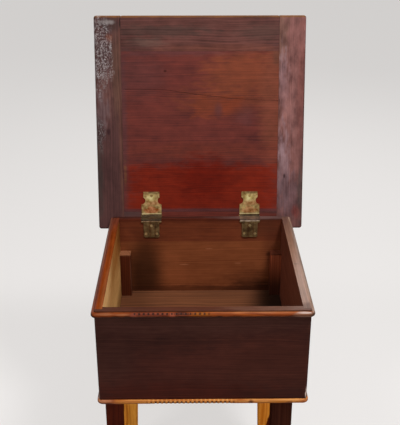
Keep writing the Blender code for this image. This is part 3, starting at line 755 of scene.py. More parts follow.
@dataclass
class Mouldings:
    """Front bead under the rim and the rounded edge of the stand's top board, both with worn notches."""

    # Pale tone of painted highlights on the top of the bead.
    dusty_highlight = Tone("7c4426", "a8704a")
    ridge = Tone("5c2817", "7c422c")
    dark = Tone("24100a", "40200f")
    # Dark spots, and painted shade under the left end of the top board.
    stain_and_shade = Tone("3c1c10", "6a3418")
    ruddy = Tone("6e3018", "ac6038")

    dresser: Dresser
    slice_mm: float = 1.2
    bead_notches: tuple[NotchRun, ...] = (
        NotchRun(-140, -52, 9.22, 1.2, 6, 2.4, 5.6, Tone("160503", "240a06"), Tone("5a2013", "7c3c26")),
        NotchRun(-57.02, -17, 9.22, 1.2, 4, 2.4, 5.6, Tone("160503", "240a06"), Tone("3a160c", "562617")),
        NotchRun(-20.14, 13, 9.22, 1.2, 5, 2.4, 5.6, Tone("1e0903", "301206"), Tone("6a3408", "985a18")),
    )
    edge_notches: tuple[NotchRun, ...] = (
        NotchRun(-112, 66, 9.04, 0.5, 16, 0.5, 7, Tone("a05820", "c87c38"), Tone("b87438", "dca460")),
        NotchRun(-112, 66, 9.04, 1.8, 16, -7.6, 2.6, Tone("140603", "240d07"), Tone("9a5418", "c4822e")),
    )
    bead_marks: Marks = (
        Mark((-150, 0, 0), (90, 9, 30), Tone("501c09", "7c3c18"), 0.7, 0.5, 0.3),
        # Painted shade over the bead's round below its top.
        Mark((0, 0, 0), (ENDLESS, 5, ENDLESS), Tone("541c08", "843c12"), 0.7, 0.5, 0.2),
        *patches(
            # This row and the next two are painted highlights along the top of the bead.
            (112, 6, 80, 1.3, dusty_highlight, 0.7, 0.6, 0.3),
            (-192, 4, 22, 1.7, dusty_highlight, 0.65, 0.6, 0.4),
            (-160, 3.4, 18, 1.4, dusty_highlight, 0.65, 0.6, 0.4),
            (-102, 1, 42, 9, Tone("44180f", "6a311e"), 0.85, 0.3, 0.2),
            (-104, 1.6, 36, 1.2, ridge, 0.7, 0.5, 0.3),
            (-137, 2, 6, 4.5, Tone("6c2e20", "924e3c"), 0.75, 0.5, 0.3),
            (-61, 1.5, 6.5, 4.5, Tone("7a3624", "a4583f"), 0.9, 0.5, 0.3),
            (-40, 3, 15, 6, Tone("30120a", "4a2010"), 0.85, 0.4, 0.3),
            (-40, 1.4, 14, 1.2, ridge, 0.7, 0.5, 0.3),
            (-7, 2, 18, 5.5, Tone("562406", "844710"), 0.9, 0.4, 0.3),
            depth=10,
        ),
        # Painted shade under the bead, with darker patches in it.
        Mark((0, -6.6, 0), (ENDLESS, 6, ENDLESS), dark, 0.85, 0.4, 0.3),
        *patches(
            (-172, -3, 9, 4, dark, 0.9, 0.5, 0.3),
            (-150, -4, 7, 4, dark, 0.8, 0.5, 0.3),
            (34, -3, 9, 4, dark, 0.85, 0.5, 0.3),
            depth=8,
        ),
        # Right end greyer, partly a painted sheen, with a painted highlight on its top; then painted shade at
        # both corners.
        Mark((204, 0, 0), (22, 9, 14), Tone("5c3828", "8a6450"), 0.8, 0.4, 0.3),
        Mark((201, 4.9, -2), (15, 1.2, 6), Tone("907468", "c4a89c"), 0.9, 0.5, 0.3, gloss=0.4),
        Mark((223, -1, -8), (11, 8, 16), Tone("38241a", "5c4030"), 0.9, 0.4, 0.3),
        Mark((-222, -3.4, -6), (11, 6, 16), dark, 0.9, 0.4, 0.3),
    )
    top_marks: Marks = (
        # Painted highlight along the top of the round edge, and painted shade below it.
        Mark((0, 3.2, 0), (ENDLESS, 2.2, 14), Tone("a4642e", "dca464"), 0.6, 0.6, 0.3),
        Mark((0, -5.4, 0), (ENDLESS, 3.2, 14), Tone("6a3208", "945014"), 0.6, 0.5, 0.3),
        Mark((-206, -1, -6), (30, 9, 26), ruddy, 0.85, 0.4, 0.3),
        # At the left end: a painted highlight on top, painted shade under it, and a painted highlight on the
        # corner.
        Mark((-206, 3.4, 0), (14, 2.2, 12), Tone("9c6242", "d4a07a"), 0.9, 0.6, 0.3),
        Mark((-206, -2.6, 0), (20, 3.4, 14), stain_and_shade, 0.8, 0.5, 0.3),
        Mark((-196, -3, 0), (7, 3, 7), stain_and_shade, 0.8, 0.5, 0.3),
        Mark((-221, 3, -14), (3, 4, 14), Tone("c49888", "e8ccc0"), 0.8, 0.5, 0.3),
        Mark((100, 0, 0), (5.5, 5, 7), stain_and_shade, 0.9, 0.5, 0.35),
        Mark((180, -2, 0), (7, 3, 5), stain_and_shade, 0.6, 0.5, 0.3),
        Mark((212, 0, -6), (14, 6, 16), ruddy, 0.7, 0.5, 0.3),
        Mark((0, 2, -240), (ENDLESS, 20, 225), Tone("3a1a0e", "5a2c16"), 0.95, 0.01, 0.0, Shape.PANEL),
    )

    def build(self) -> None:
        """Build and dress both mouldings and dress the side beads."""
        self.build_notched(
            "notched_front_bead", "front_rim_bead", "orange_bead_wood", BEAD,
            self.bead_marks, self.bead_notches,
        )
        self.build_notched(
            "notched_stand_top", "stand_top", "honey_edge_wood", HONEY, self.top_marks, self.edge_notches,
        )
        # Painted reflection on the tops of the side beads: darker on the left, paler and greyer on the right.
        rubbed = {"left": Tone("54281c", "7c4632"), "right": Tone("6c5446", "9c8272")}
        for side, sign in (("left", -1.0), ("right", 1.0)):
            low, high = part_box(f"{side}_rim_bead")
            board = Board((0.0, -sign, 0.0), (sign, 0.0, 0.0), tuple((low + high) / 2))
            marks = (
                Mark((30 - 30 * sign, 0, 0), (230, 20, 30), Tone("34201a", "543a30"), 0.9, 0.3, 0.1),
                Mark((0, -5, -3), (ENDLESS, 4, 5), rubbed[side], 0.8, 0.5, 0.2),
                Mark((sign * 230, 3, 0), (18, 6, 16), Tone("24120c", "44281c"), 0.9, 0.4, 0.3),
            )
            self.dresser.paint_wood(self.dresser.nodes[f"{side}_rim_bead"], BEAD, board, marks)

    def build_notched(
        self, name: str, node: str, slot: str, wood: Wood, marks: Marks, runs: tuple[NotchRun, ...]
    ) -> None:
        """Copy a moulding, gouge its front and give it its wood.

        Args:
            name: Name of the new piece.
            node: CAD node of the moulding, which runs along X.
            slot: Material slot of the record.
            wood: Its finish.
            marks: Its marks.
            runs: Its rows of notches.
        """
        low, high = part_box(node)
        length, height = high.x - low.x, high.z - low.z
        middle = (low.z + high.z) / 2
        body = self.dresser.cad_copy(node)
        front = [
            edge for edge in body.edges
            if abs(edge.verts[0].co.x - edge.verts[1].co.x) > length / 2
            and all(vert.co.y < low.y + height for vert in edge.verts)
        ]
        cuts = int(length / (self.slice_mm * MM))
        bmesh.ops.subdivide_edges(body, edges=front, cuts=cuts, use_grid_fill=True)
        for vert in body.verts:
            if vert.co.y < low.y + height / 2:
                along, across = vert.co.x / MM, (vert.co.z - middle) / MM
                vert.co.y += max(run.depth_at(along, across) for run in runs) * MM
        piece = self.dresser.add_piece(name, body, node, "box_and_stand", slot)
        self.dresser.paint_wood(piece, wood, Board(X_AXIS, FRONT, (0.0, low.y, middle)), marks, notches=runs)


@dataclass
class Lid:
    """Framed lid: its red panel, cracked along the grain, and its darker stiles and rails."""

    smudge = Tone("2c1e1b", "46322c")
    rusty = Tone("462822", "644034")
    lilac = Tone("5c4244", "907478")
    orange = Tone("5c2e1e", "7c3e26")
    plum = Tone("3e2323", "583434")

    dresser: Dresser
    hinge_axis: Vector
    open_angle: float
    underside: float = 0.00335
    thickness_mm: float = 18.0
    front_edge_mm: float = 483.5
    wear_mm: float = 4.6
    wear_over_mm: float = 3.0
    bare: Tone = Tone("4c2c12", "744822")
    outer_stain: Tone = Tone("2c1612", "4a2820")
    crack: tuple[tuple[float, float], ...] = (
        (-186, 311), (-130, 310.5), (-82, 309), (-10, 298), (79, 288), (140, 284.5), (188, 283),
    )
    crack_width: float = 0.0008
    crack_depth: float = 0.004
    panel_marks: Marks = patches(
        (112, 348, 98, 56, orange, 0.8, 0.5, 0.35),
        (-150, 345, 60, 50, Tone("3c2220", "5a3230"), 0.5, 0.6, 0.3),
        (60, 284, 105, 34, orange, 0.5, 0.6, 0.35),
        (7, 270, 24, 24, Tone("5c2a1a", "7e3a22"), 0.6, 0.5, 0.5, Shape.PANEL),
        (76, 272, 26, 18, Tone("5c2616", "7c361c"), 0.6, 0.5, 0.5, Shape.PANEL),
        (44, 260, 8, 14, plum, 0.6, 0.7, 0.4),
        (108, 246, 24, 22, plum, 0.5, 0.7, 0.4),
        (176, 270, 30, 140, Tone("5a3020", "7a4030"), 0.75, 0.6, 0.3),
        (20, 162, 175, 20, Tone("4c231c", "743426"), 0.7, 0.6, 0.3),
        (4, 60, 188, 66, Tone("561408", "7c220e"), 0.95, 0.22, 0.12, Shape.PANEL),
        (8, 96, 60, 50, Tone("4a0c03", "681405"), 0.8, 0.6, 0.3),
        (0, 9, 400, 9.5, plum, 0.85, 0.35, 0.1),
        (-188, 210, 10, 210, plum, 0.75, 0.6, 0.3),
        (-60, 400, 150, 9, plum, 0.6, 0.7, 0.4),
        (188, 390, 14, 24, Tone("44291f", "5e3a2c"), 0.7, 0.6, 0.4),
        (-184, 105, 3, 26, Tone("54341f", "78502e"), 0.5, 0.7, 0.6),
        (-84, 354, 3.5, 2.8, Tone("2c100c", "3c1810"), 0.9, 0.5),
    )
    front_rail_marks: Marks = patches(
        (0, 440, 230, 70, Tone("3c201b", "603932"), 0.85, 0.4, 0.2),
        (-90, 447, 110, 13, smudge, 0.75, 0.6, 0.5),
        (150, 445, 60, 17, smudge, 0.6, 0.6, 0.5),
        (60, 404, 150, 11, Tone("4c2820", "6c3e32"), 0.75, 0.6, 0.4),
        (-130, 420, 34, 9, Tone("4c3c36", "685248"), 0.45, 0.7, 0.5),
    )
    rear_rail_marks: Marks = patches(
        (0, -6, 230, 20, Tone("4c1f18", "6c2e24"), 0.9, 0.3, 0.1),
        (-176, -2, 44, 20, Tone("3c2826", "584240"), 0.8, 0.5, 0.2),
        depth=9,
    )
    left_stile_marks: Marks = patches(
        (240, 190, 280, 7, rusty, 0.7, 0.5, 0.3),
        (350, 202, 100, 10, Tone("432c24", "5e4135"), 0.75, 0.5, 0.3),
        (300, 230, 60, 17, Tone("4c2c28", "745048"), 0.7, 0.6, 0.6),
        (262, 236, 40, 14, Tone("453434", "6c5658"), 0.7, 0.7, 0.7),
        (100, 247, 90, 9, Tone("2c2523", "443a36"), 0.7, 0.7, 0.4),
        (209, 223, 7, 4, Tone("2a1618", "382022"), 0.9, 0.5, 0.4),
        (431, 217, 8, 8, Tone("5c3020", "7c4830"), 0.8, 0.7, 0.8),
        (463, 212, 16, 26, Tone("241815", "3a2a26"), 0.7, 0.5, 0.4),
        (468, 222, 5, 16, Tone("6c6260", "908684"), 0.7, 0.6, 0.4),
    )
    left_stile_gap: Marks = patches((468, 189.5, 12, 1.6, Tone("140a08", "1c0e0c"), 0.95, 0.4))
    left_stile_crackles: tuple[Crackle, ...] = (
        Crackle((396, 241, 0), (80, 27, 6), 1.9, Tone("6c6161", "ccc2c2"), "221616"),
        Crackle((206, 245, 0), (36, 13, 6), 1.9, Tone("463c3c", "9c9090"), "181010"),
    )
    # Pale mauve patches on the right stile, partly a painted sheen.
    right_stile_marks: Marks = patches(
        (240, -190, 280, 5, rusty, 0.6, 0.5, 0.3),
        (440, -196, 60, 14, Tone("4c322a", "745448"), 0.7, 0.6, 0.5),
        (335, -199, 60, 10, lilac, 0.6, 0.7, 0.9),
        (250, -214, 80, 26, Tone("664240", "9c6c66"), 0.55, 0.7, 0.8),
        (118, -202, 84, 15, lilac, 0.7, 0.7, 0.7),
        (166, -197, 26, 7, Tone("785c60", "a88a8e"), 0.6, 0.7, 0.7),
        (310, -242, 130, 9, Tone("4c2824", "784842"), 0.7, 0.6, 0.6),
        (48, -218, 52, 30, Tone("483436", "6e5458"), 0.7, 0.6, 0.6),
        (10, -238, 16, 10, Tone("561e18", "843a2e"), 0.6, 0.6, 0.5),
        (62, -246, 62, 8, Tone("2e2624", "483c38"), 0.7, 0.6, 0.4),
        (99, -206, 5, 2.5, Tone("2c1a1c", "3c2426"), 0.9, 0.5),
        (220, -254, 300, 4, Tone("2c1a18", "48302c"), 0.85, 0.4, 0.2),
    )

    def axes(self) -> tuple[Vector, Vector, Vector]:
        """Axes of the open lid.

        Returns:
            Forward along the lid, out of its inner face, and the point on that face over the hinge axis.
        """
        forward = Vector((0.0, -math.cos(self.open_angle), math.sin(self.open_angle)))
        inward = Vector((0.0, -math.sin(self.open_angle), -math.cos(self.open_angle)))
        return forward, inward, self.hinge_axis - inward * self.underside

    def build(self) -> None:
        """Cut the crack and dress every board of the lid, with its outer half stained darker."""
        forward, inward, origin = self.axes()
        across = Board(X_AXIS, tuple(inward), tuple(origin))
        along = Board(tuple(forward), tuple(inward), tuple(origin))
        depth = self.thickness_mm
        half = (ENDLESS, ENDLESS, depth / 2)
        outside = Mark((0, 0, -depth), half, self.outer_stain, 1.0, 0.02, 0.0, Shape.PANEL)
        stile_wear = self.edge_wear(True)
        nodes, paint = self.dresser.nodes, self.dresser.paint_wood
        paint(self.cut_crack(forward, inward, origin), LID_RED, across, (*self.panel_marks, outside))
        front = (*self.front_rail_marks, outside, self.edge_wear(False))
        paint(nodes["lid_front_rail"], LID_FRAME, across, front)
        paint(nodes["lid_rear_rail"], LID_FRAME, across, (*self.rear_rail_marks, outside))
        left = (*self.left_stile_marks, outside, stile_wear, *self.left_stile_gap)
        paint(nodes["lid_left_stile"], LID_FRAME, along, left, self.left_stile_crackles)
        paint(nodes["lid_right_stile"], HAZE_AND_SHEEN, along, (*self.right_stile_marks, outside, stile_wear))

    def edge_wear(self, stile: bool) -> Mark:
        """Bare wood where the varnish has worn off the lid's front edge.

        Args:
            stile: Whether the board runs along the lid rather than across it.

        Returns:
            The mark on that board's axes.
        """
        far, depth = self.front_edge_mm, self.thickness_mm / 2
        deep = depth + self.wear_over_mm
        middle = (far, 0, -depth) if stile else (0, far, -depth)
        half = (self.wear_mm, ENDLESS, deep) if stile else (ENDLESS, self.wear_mm, deep)
        return Mark(middle, half, self.bare, 0.9, 0.15, 0.2, Shape.PANEL)

    def cut_crack(self, forward: Vector, inward: Vector, origin: Vector) -> bpy.types.Object:
        """Copy the CAD panel and cut a drying crack into its inner face.

        Args:
            forward: Direction along the lid.
            inward: Direction out of its inner face.
            origin: Point of that face over the hinge axis.

        Returns:
            The piece that stands for the panel.
        """
        slit = bmesh.new()
        raised = origin + inward * self.crack_depth
        line = [slit.verts.new(raised + Vector((x * MM, 0.0, 0.0)) + forward * d * MM) for x, d in self.crack]
        edges = [slit.edges.new(pair) for pair in zip(line, line[1:])]
        pushed = bmesh.ops.extrude_edge_only(slit, edges=edges)["geom"]
        deep = [item for item in pushed if isinstance(item, bmesh.types.BMVert)]
        bmesh.ops.translate(slit, verts=deep, vec=-2 * self.crack_depth * inward)
        bmesh.ops.solidify(slit, geom=slit.faces[:], thickness=self.crack_width)
        bmesh.ops.recalc_face_normals(slit, faces=slit.faces)
        cutter = place_object("crack_cutter", mesh_of("crack_cutter", slit))
        board = place_object("board", mesh_of("board", self.dresser.cad_copy("lid_panel")))
        cut = board.modifiers.new("crack", "BOOLEAN")
        cut.operation = "DIFFERENCE"
        cut.solver = "EXACT"
        cut.object = cutter
        graph = bpy.context.evaluated_depsgraph_get()
        cracked = bmesh.new()
        cracked.from_mesh(bpy.data.meshes.new_from_object(board.evaluated_get(graph)))
        for item in (board, cutter):
            bpy.data.objects.remove(item)
        return self.dresser.add_piece(
            "cracked_lid_panel", cracked, "lid_panel", "lid", "red_brown_lid_wood", rounded=False
        )


@dataclass(frozen=True)
class Wall:
    """Looks of one wall of the box, whose marks are painted in order over its bare inner face."""

    outward: Triple
    inside: Tone
    marks: Marks
    wood: Wood = STAINED


@dataclass
class Box:
    """Walls, floor and tray posts of the box."""

    brown = Tone("66361e", "8e4f2f")
    # Grime, and painted shade where it lies low on the back wall.
    grime_and_shade = Tone("34190f", "4c2616")
    scratch = Tone("9a6040", "b87a58")
    # Painted shade, laid on the box floor and on the foot of the right post.
    painted_shade = Tone("120906", "1e110a")

    dresser: Dresser
    wall_mm: float = 16.0
    rim_mm: float = 214.0
    over_rim_mm: float = 2.0
    beyond_mm: float = 5.0
    skin_mm: float = 0.1

    def build(self) -> None:
        """Dress the walls, the floor and the posts."""
        for name, wall in self.walls().items():
            self.dress_wall(name, wall)
        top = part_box("box_floor")[1].z
        # Painted shadow of the right wall over the right end of the floor.
        shade = Mark((205, -40, 0), (80, 300, 6), self.painted_shade, 0.93, 0.5)
        floor = self.dresser.nodes["box_floor"]
        self.dresser.paint_wood(floor, INSIDE, Board(X_AXIS, Z_AXIS, (0.0, 0.0, top)), (shade,))
        for end in ("front", "back"):
            for side in ("left", "right"):
                self.dress_post(f"{end}_{side}_tray_post", side == "right")

    def on_rim(self, along: float) -> Triple:
        """Middle of a mark on the top of a wall."""
        return (along, self.rim_mm + self.over_rim_mm, -self.wall_mm / 2)

    def rim(self, tone: Tone, gloss: float) -> Mark:
        """Varnish along the top of a wall."""
        half = (ENDLESS, 4, self.wall_mm / 2 + 1)
        return Mark(self.on_rim(0), half, tone, 0.95, 0.1, 0.0, Shape.PANEL, gloss)

    def walls(self) -> dict[str, Wall]:
        """Looks of the walls: inside, the back is redder above the tray, the left pale and the right dark,
        with painted light and shade in places.

        Returns:
            The looks by CAD node.
        """
        face, rim = -self.wall_mm, self.rim_mm
        front = (
            *patches(
                (-20, 60, 170, 60, Tone("361610", "52261c"), 0.7, 0.6, 0.4),
                (150, 88, 140, 62, Tone("361810", "50261c"), 0.9, 0.5, 0.3),
                (-190, 100, 46, 50, Tone("321812", "4a2820"), 0.8, 0.5, 0.3),
                (-40, 10, 180, 32, Tone("2c1008", "48190f"), 0.8, 0.5, 0.3),
                (-50, 192, 270, 30, Tone("381c16", "533027"), 0.8, 0.6, 0.2),
                depth=5,
            ),
            Mark((-216, 8, -1), (1.5, 14, 3), Tone("7c5a4e", "a88476"), 0.9, 0.5, 0.4),
            Mark((216, 13, 0), (2.6, 14, 1.8), Tone("dcb8a6", "f8e2d4"), 0.95, 0.5, 0.3),
            self.rim(Tone("34190f", "50291a"), 0.06),
            Mark(self.on_rim(160), (110, 4.5, 12), Tone("442a20", "644232"), 0.8, 0.5, 0.3, gloss=0.13),
        )
        above = (0, 194, face - self.beyond_mm)
        half = (400, 40, self.beyond_mm + self.skin_mm)
        back = (
            Mark(above, half, Tone("4e2018", "72321f"), 0.9, 0.1, 0.0, Shape.PANEL),
            *patches(
                (0, 214, ENDLESS, 8, Tone("3a1610", "562417"), 0.75, 0.8, 0.1),
                # Painted shadow right of the left post; painted shade beside the right post and high up left
                # of it; painted shade with grime low in the right corner and along the foot; a small dark
                # spot.
                (140, 60, 40, 104, Tone("26140a", "3a2012"), 0.85, 0.6),
                (-186, 140, 26, 100, Tone("3e1c12", "5a2c1e"), 0.5, 0.6),
                (-150, 192, 46, 26, Tone("3c1c14", "583020"), 0.6, 0.6, 0.2),
                (-150, 30, 80, 40, self.grime_and_shade, 0.45, 0.6, 0.3),
                (-160, 6, 74, 32, Tone("160b07", "22120b"), 0.85, 0.7, 0.2),
                (0, 14, 220, 14, self.grime_and_shade, 0.7, 0.6, 0.3),
                (-171, 116, 8, 6, self.grime_and_shade, 0.9, 0.5, 0.3),
                (-21, 132, 9, 0.9, self.scratch, 0.7, 0.4),
                (42, 88, 11, 0.9, self.scratch, 0.7, 0.4),
                (-94, 91, 8, 0.9, self.scratch, 0.7, 0.4),
                depth=5, out=face,
            ),
            Mark(self.on_rim(-150), (100, 4.5, 12), Tone("463230", "664c46"), 0.9, 0.6, 0.2),
        )
        edge = (0, rim + self.over_rim_mm, 0)
        left = (
            *patches(
                # Inside: darker at the rear top and along the foot, and paler at the front top, where light
                # is painted.
                (-150, 190, 260, 60, Tone("8a4e20", "b87838"), 0.8, 0.6, 0.15),
                (-60, 14, 200, 40, Tone("6a4424", "906438"), 0.7, 0.6, 0.15),
                (190, 180, 110, 90, Tone("b07c44", "e0a86c"), 0.95, 0.6, 0.15),
                (235, 212, 130, 56, Tone("f0b470", "ffd698"), 0.95, 0.6, 0.15),
                (-150, 190, 70, 70, Tone("5e2c12", "824a20"), 0.75, 0.7, 0.15),
                out=face,
            ),
            self.rim(Tone("5c240a", "843a12"), 0.0),
            Mark(edge, (ENDLESS, 5, 4), Tone("522618", "7a402c"), 0.85, 0.3, 0.2, Shape.PANEL),
            Mark(self.on_rim(-150), (60, 5, 20), Tone("3e1e18", "5c3026"), 0.7, 0.6, 0.2),
        )
        right = (
            # Painted shade low at the front of the inner face.
            *patches((-200, 10, 150, 80, Tone("2c140c", "441f15"), 0.85, 0.6), out=face),
            # The rim's pale grey-brown is partly a painted sheen; the next mark darkens its rear end.
            self.rim(Tone("664736", "926c58"), 0.3),
            Mark(self.on_rim(160), (80, 5, 14), Tone("432a23", "62453c"), 0.85, 0.7, 0.3, gloss=0.2),
            Mark(self.on_rim(-268), (15, 5, 14), Tone("442c22", "644436"), 0.8, 0.4, 0.2, gloss=0.12),
            Mark((-92, rim, -10), (1.2, 4, 5), Tone("24140f", "3a221a"), 0.9, 0.4),
        )
        return {
            "front_wall": Wall(FRONT, self.brown, front),
            "back_wall": Wall(Y_AXIS, self.brown, back),
            "left_wall": Wall((-1.0, 0.0, 0.0), Tone("b07c42", "e0b070"), left, MATT_STAINED),
            "right_wall": Wall(X_AXIS, Tone("562e22", "7a4432"), right),
        }

    def dress_wall(self, name: str, wall: Wall) -> None:
        """Stain a wall outside and leave its inner face bare.

        Args:
            name: CAD node of the wall.
            wall: Its looks.
        """
        low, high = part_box(name)
        outer = high if sum(wall.outward) > 0 else low
        origin = (outer.x * abs(wall.outward[0]), outer.y * abs(wall.outward[1]), low.z)
        board = Board(tuple(Vector(Z_AXIS).cross(Vector(wall.outward))), wall.outward, origin)
        middle = (0, 0, -self.wall_mm - self.beyond_mm)
        half = (ENDLESS, ENDLESS, self.beyond_mm + self.skin_mm)
        bare = Mark(middle, half, wall.inside, 1.0, 0.01, 0.0, Shape.PANEL)
        self.dresser.paint_wood(self.dresser.nodes[name], wall.wood, board, (bare, *wall.marks))

    def dress_post(self, name: str, right: bool) -> None:
        """Rub the top of a post; paint shade over the foot of a right one, and a highlight along the right
        front edge of a left one.

        Args:
            name: CAD node of the post.
            right: Whether it stands on the right.
        """
        low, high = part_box(name)
        half = (high - low) / 2 / MM
        wide = (200, 200)
        if right:
            marks = (
                Mark((0, 0, 0), (400, 400, 400), Tone("7a3a24", "9c5236")),
                # Painted shade over the foot of the post.
                Mark((-half.z, 0, 0), (60, *wide), self.painted_shade, 0.85, 0.7),
            )
            rubbed = Tone("3c1c12", "54281a")
        else:
            edge = (0, -half.x, half.y)
            # Painted highlight along the right front edge of the post.
            marks = (Mark(edge, (half.z, 1.8, 1.8), Tone("5e3a2a", "80563e"), 0.85, 0.4, 0.3),)
            rubbed = Tone("764830", "986444")
        top = Mark((half.z, 0, 0), (2.5, *wide), rubbed, 0.9, 0.2, 0.0, Shape.PANEL)
        board = Board(Z_AXIS, FRONT, tuple((low + high) / 2))
        self.dresser.paint_wood(self.dresser.nodes[name], POST, board, (*marks, top))


@dataclass
class Stand:
    """Legs and aprons."""

    dresser: Dresser
    foot: float = 0.0305

    def build(self) -> None:
        """Dress the dark front legs and aprons and the pale rear legs."""
        for side, sign in (("left", -1.0), ("right", 1.0)):
            self.dress_front_leg(f"front_{side}_leg", sign)
            self.dress_rear_leg(f"rear_{side}_leg", sign)
            self.dress_apron(f"{side}_apron", Y_AXIS, (sign, 0.0, 0.0))
        self.dress_apron("back_apron", X_AXIS, Y_AXIS)

    def dress_apron(self, name: str, along: Triple, face: Triple) -> None:
        """Stain an apron dark."""
        board = Board(along, face, tuple(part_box(name)[1]))
        self.dresser.paint_wood(self.dresser.nodes[name], STAINED, board)

    def dress_front_leg(self, name: str, sign: float) -> None:
        """Stain a front leg, but for the sapwood of the left one's inner face.

        Args:
            name: CAD node of the leg.
            sign: -1 for the left leg and 1 for the right one.
        """
        low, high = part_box(name)
        taper = (high.x - low.x - self.foot) / high.z
        inner = low.x if sign > 0 else high.x
        board = Board((-sign * taper, 0.0, 1.0), FRONT, (inner, low.y, high.z))
        if sign < 0:
            mark = Mark((0, 0, 0), (ENDLESS, 3.3, 400), SAPWOOD.tone, 1.0, 0.2, 0.2, Shape.PANEL, 0.0)
        else:
            mark = Mark((0, 0, 0), (ENDLESS, 400, 400), Tone("2f1610", "4a261b"), gloss=0.0)
        self.dresser.paint_wood(self.dresser.nodes[name], LEG, board, (mark,))

    def dress_rear_leg(self, name: str, sign: float) -> None:
        """Leave a rear leg pale, but for stained outer and back faces and the right one's dark tongue; the
        left one is painted paler still, as painted light.

        Args:
            name: CAD node of the leg.
            sign: -1 for the left leg and 1 for the right one.
        """
        low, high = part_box(name)
        outer = high.x if sign > 0 else low.x
        board = Board(Z_AXIS, FRONT, (outer, high.y, 0.0))
        stained: Marks = (
            Mark((0, 0, 0), (ENDLESS, 1.2, 400), LEG.tone, 1.0, 0.2, 0.3, Shape.PANEL),
            Mark((0, 0, 0), (ENDLESS, 400, 1.2), LEG.tone, 1.0, 0.2, 0.3, Shape.PANEL),
        )
        # Painted light: the left rear leg paler, as it gets less lamp light than the right one.
        paler = Mark((0, 0, 0), (ENDLESS, ENDLESS, ENDLESS), Tone("d47c24", "ffb048"))
        tongue = (
            Mark((40, 0, 30), (80, 19, 60), LEG.tone, 1.0, 0.06, 0.12),
            Mark((120, 0, 30), (15, 5, 60), LEG.tone, 1.0, 0.1, 0.2),
        )
        marks = (paler, *stained) if sign < 0 else (*stained, *tongue)
        self.dresser.paint_wood(self.dresser.nodes[name], SAPWOOD, board, marks)


@dataclass
class Hinges:
    """Two brass hinges with their pins and slotted screws."""

    streak = Tone("3c2010", "5c3418")

    dresser: Dresser
    hinge_axis: Vector
    inward: Vector
    barrel: Mark = Mark((0, 0, 0), (90, 4.6, 4.6), Tone("180f08", "2a1c10"), 0.95, 0.15, 0.1, gloss=0.1)
    grime_and_shade: Mark = Mark(
        (0, -30, 18), (60, 31.5, 12), Tone("3a281a", "60462d"), 0.8, 0.15, 0.2, Shape.PANEL, 0.45
    )
    streaks: Marks = (
        Mark((-3, -25, 20), (3, 26, 8), streak, 0.7, 0.6, 0.4, gloss=0.3),
        Mark((9, -30, 20), (2, 20, 8), streak, 0.6, 0.6, 0.4, gloss=0.3),
    )
    lid_marks: Marks = patches(
        (3, 33, 15, 6, Tone("a06a3a", "e0a878"), 0.8, 0.5, 0.4),
        # Painted highlight near the upper screw.
        (-1, 46, 9, 8, Tone("d0b468", "fff0b0"), 0.9, 0.7, 0.2),
        (0, 60, 19, 4, Tone("5c4a34", "80694a"), 0.7, 0.6, 0.3),
        # Painted highlight along the barrel.
        (0, 6.2, 60, 1.1, Tone("d8c890", "fff0bc"), 0.9, 0.5),
    )

    def build(self) -> None:
        """Dress the leaves, the pins and the screws."""
        heat = {"left": 0.95, "right": 0.6}
        # Painted reflection of the lid on the flat of each rim leaf over the rim.
        ledge_reflection = {"left": Tone("140c06", "24170c"), "right": Tone("3c2c26", "5c463c")}
        # Painted highlight along the fold of each rim leaf.
        rubbed = {"left": Tone("8c6e52", "b89474"), "right": Tone("c8ac90", "f4dcc0")}
        for seed, side in enumerate(("left", "right")):
            copper = Mark((0, 15, 0), (17.5, 9, 6), Tone("94501f", "eca070"), heat[side], 0.3, 0.3)
            bend = Mark((0, 2.4, 13.6), (60, 6, 9.4), ledge_reflection[side], 0.95, 0.1, 0.1, Shape.PANEL, 0.05)
            # Painted highlight along the fold, below the flat.
            fold = Mark((0, -3.6, 21), (60, 1, 2), rubbed[side], 0.9, 0.5, 0.3, gloss=0.1)
            worn = (fold, *self.streaks) if side == "left" else (*self.streaks, fold)
            looks = {
                "lid_leaf": (LEAF_BRASS, (copper, *self.lid_marks, self.barrel)),
                "rim_leaf": (LEAF_BRASS, (self.grime_and_shade, bend, self.barrel, *worn)),
                "pin": (PIN_BRASS, ()),
            }
            self.dress_hinge(f"{side}_hinge_", looks, seed)

    def dress_hinge(self, prefix: str, looks: dict[str, tuple[Brass, Marks]], seed: int) -> None:
        """Dress every piece of one hinge.

        Args:
            prefix: Start of the names of its nodes.
            looks: Finish and marks by the rest of the name, for all but the screws.
            seed: Shifts the stains.
        """
        low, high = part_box(f"{prefix}lid_leaf")
        origin = ((low.x + high.x) / 2, self.hinge_axis.y, self.hinge_axis.z)
        for name, node in self.dresser.nodes.items():
            if not name.startswith(prefix):
                continue
            on_lid = name.startswith(f"{prefix}lid_")
            screw = (DULL_SCREW_BRASS if on_lid else SCREW_BRASS, ())
            brass, marks = looks.get(name.removeprefix(prefix), screw)
            board = Board(X_AXIS, tuple(self.inward) if on_lid else FRONT, origin)
            self.dresser.paint(node, brass.material(name, board, marks, seed))


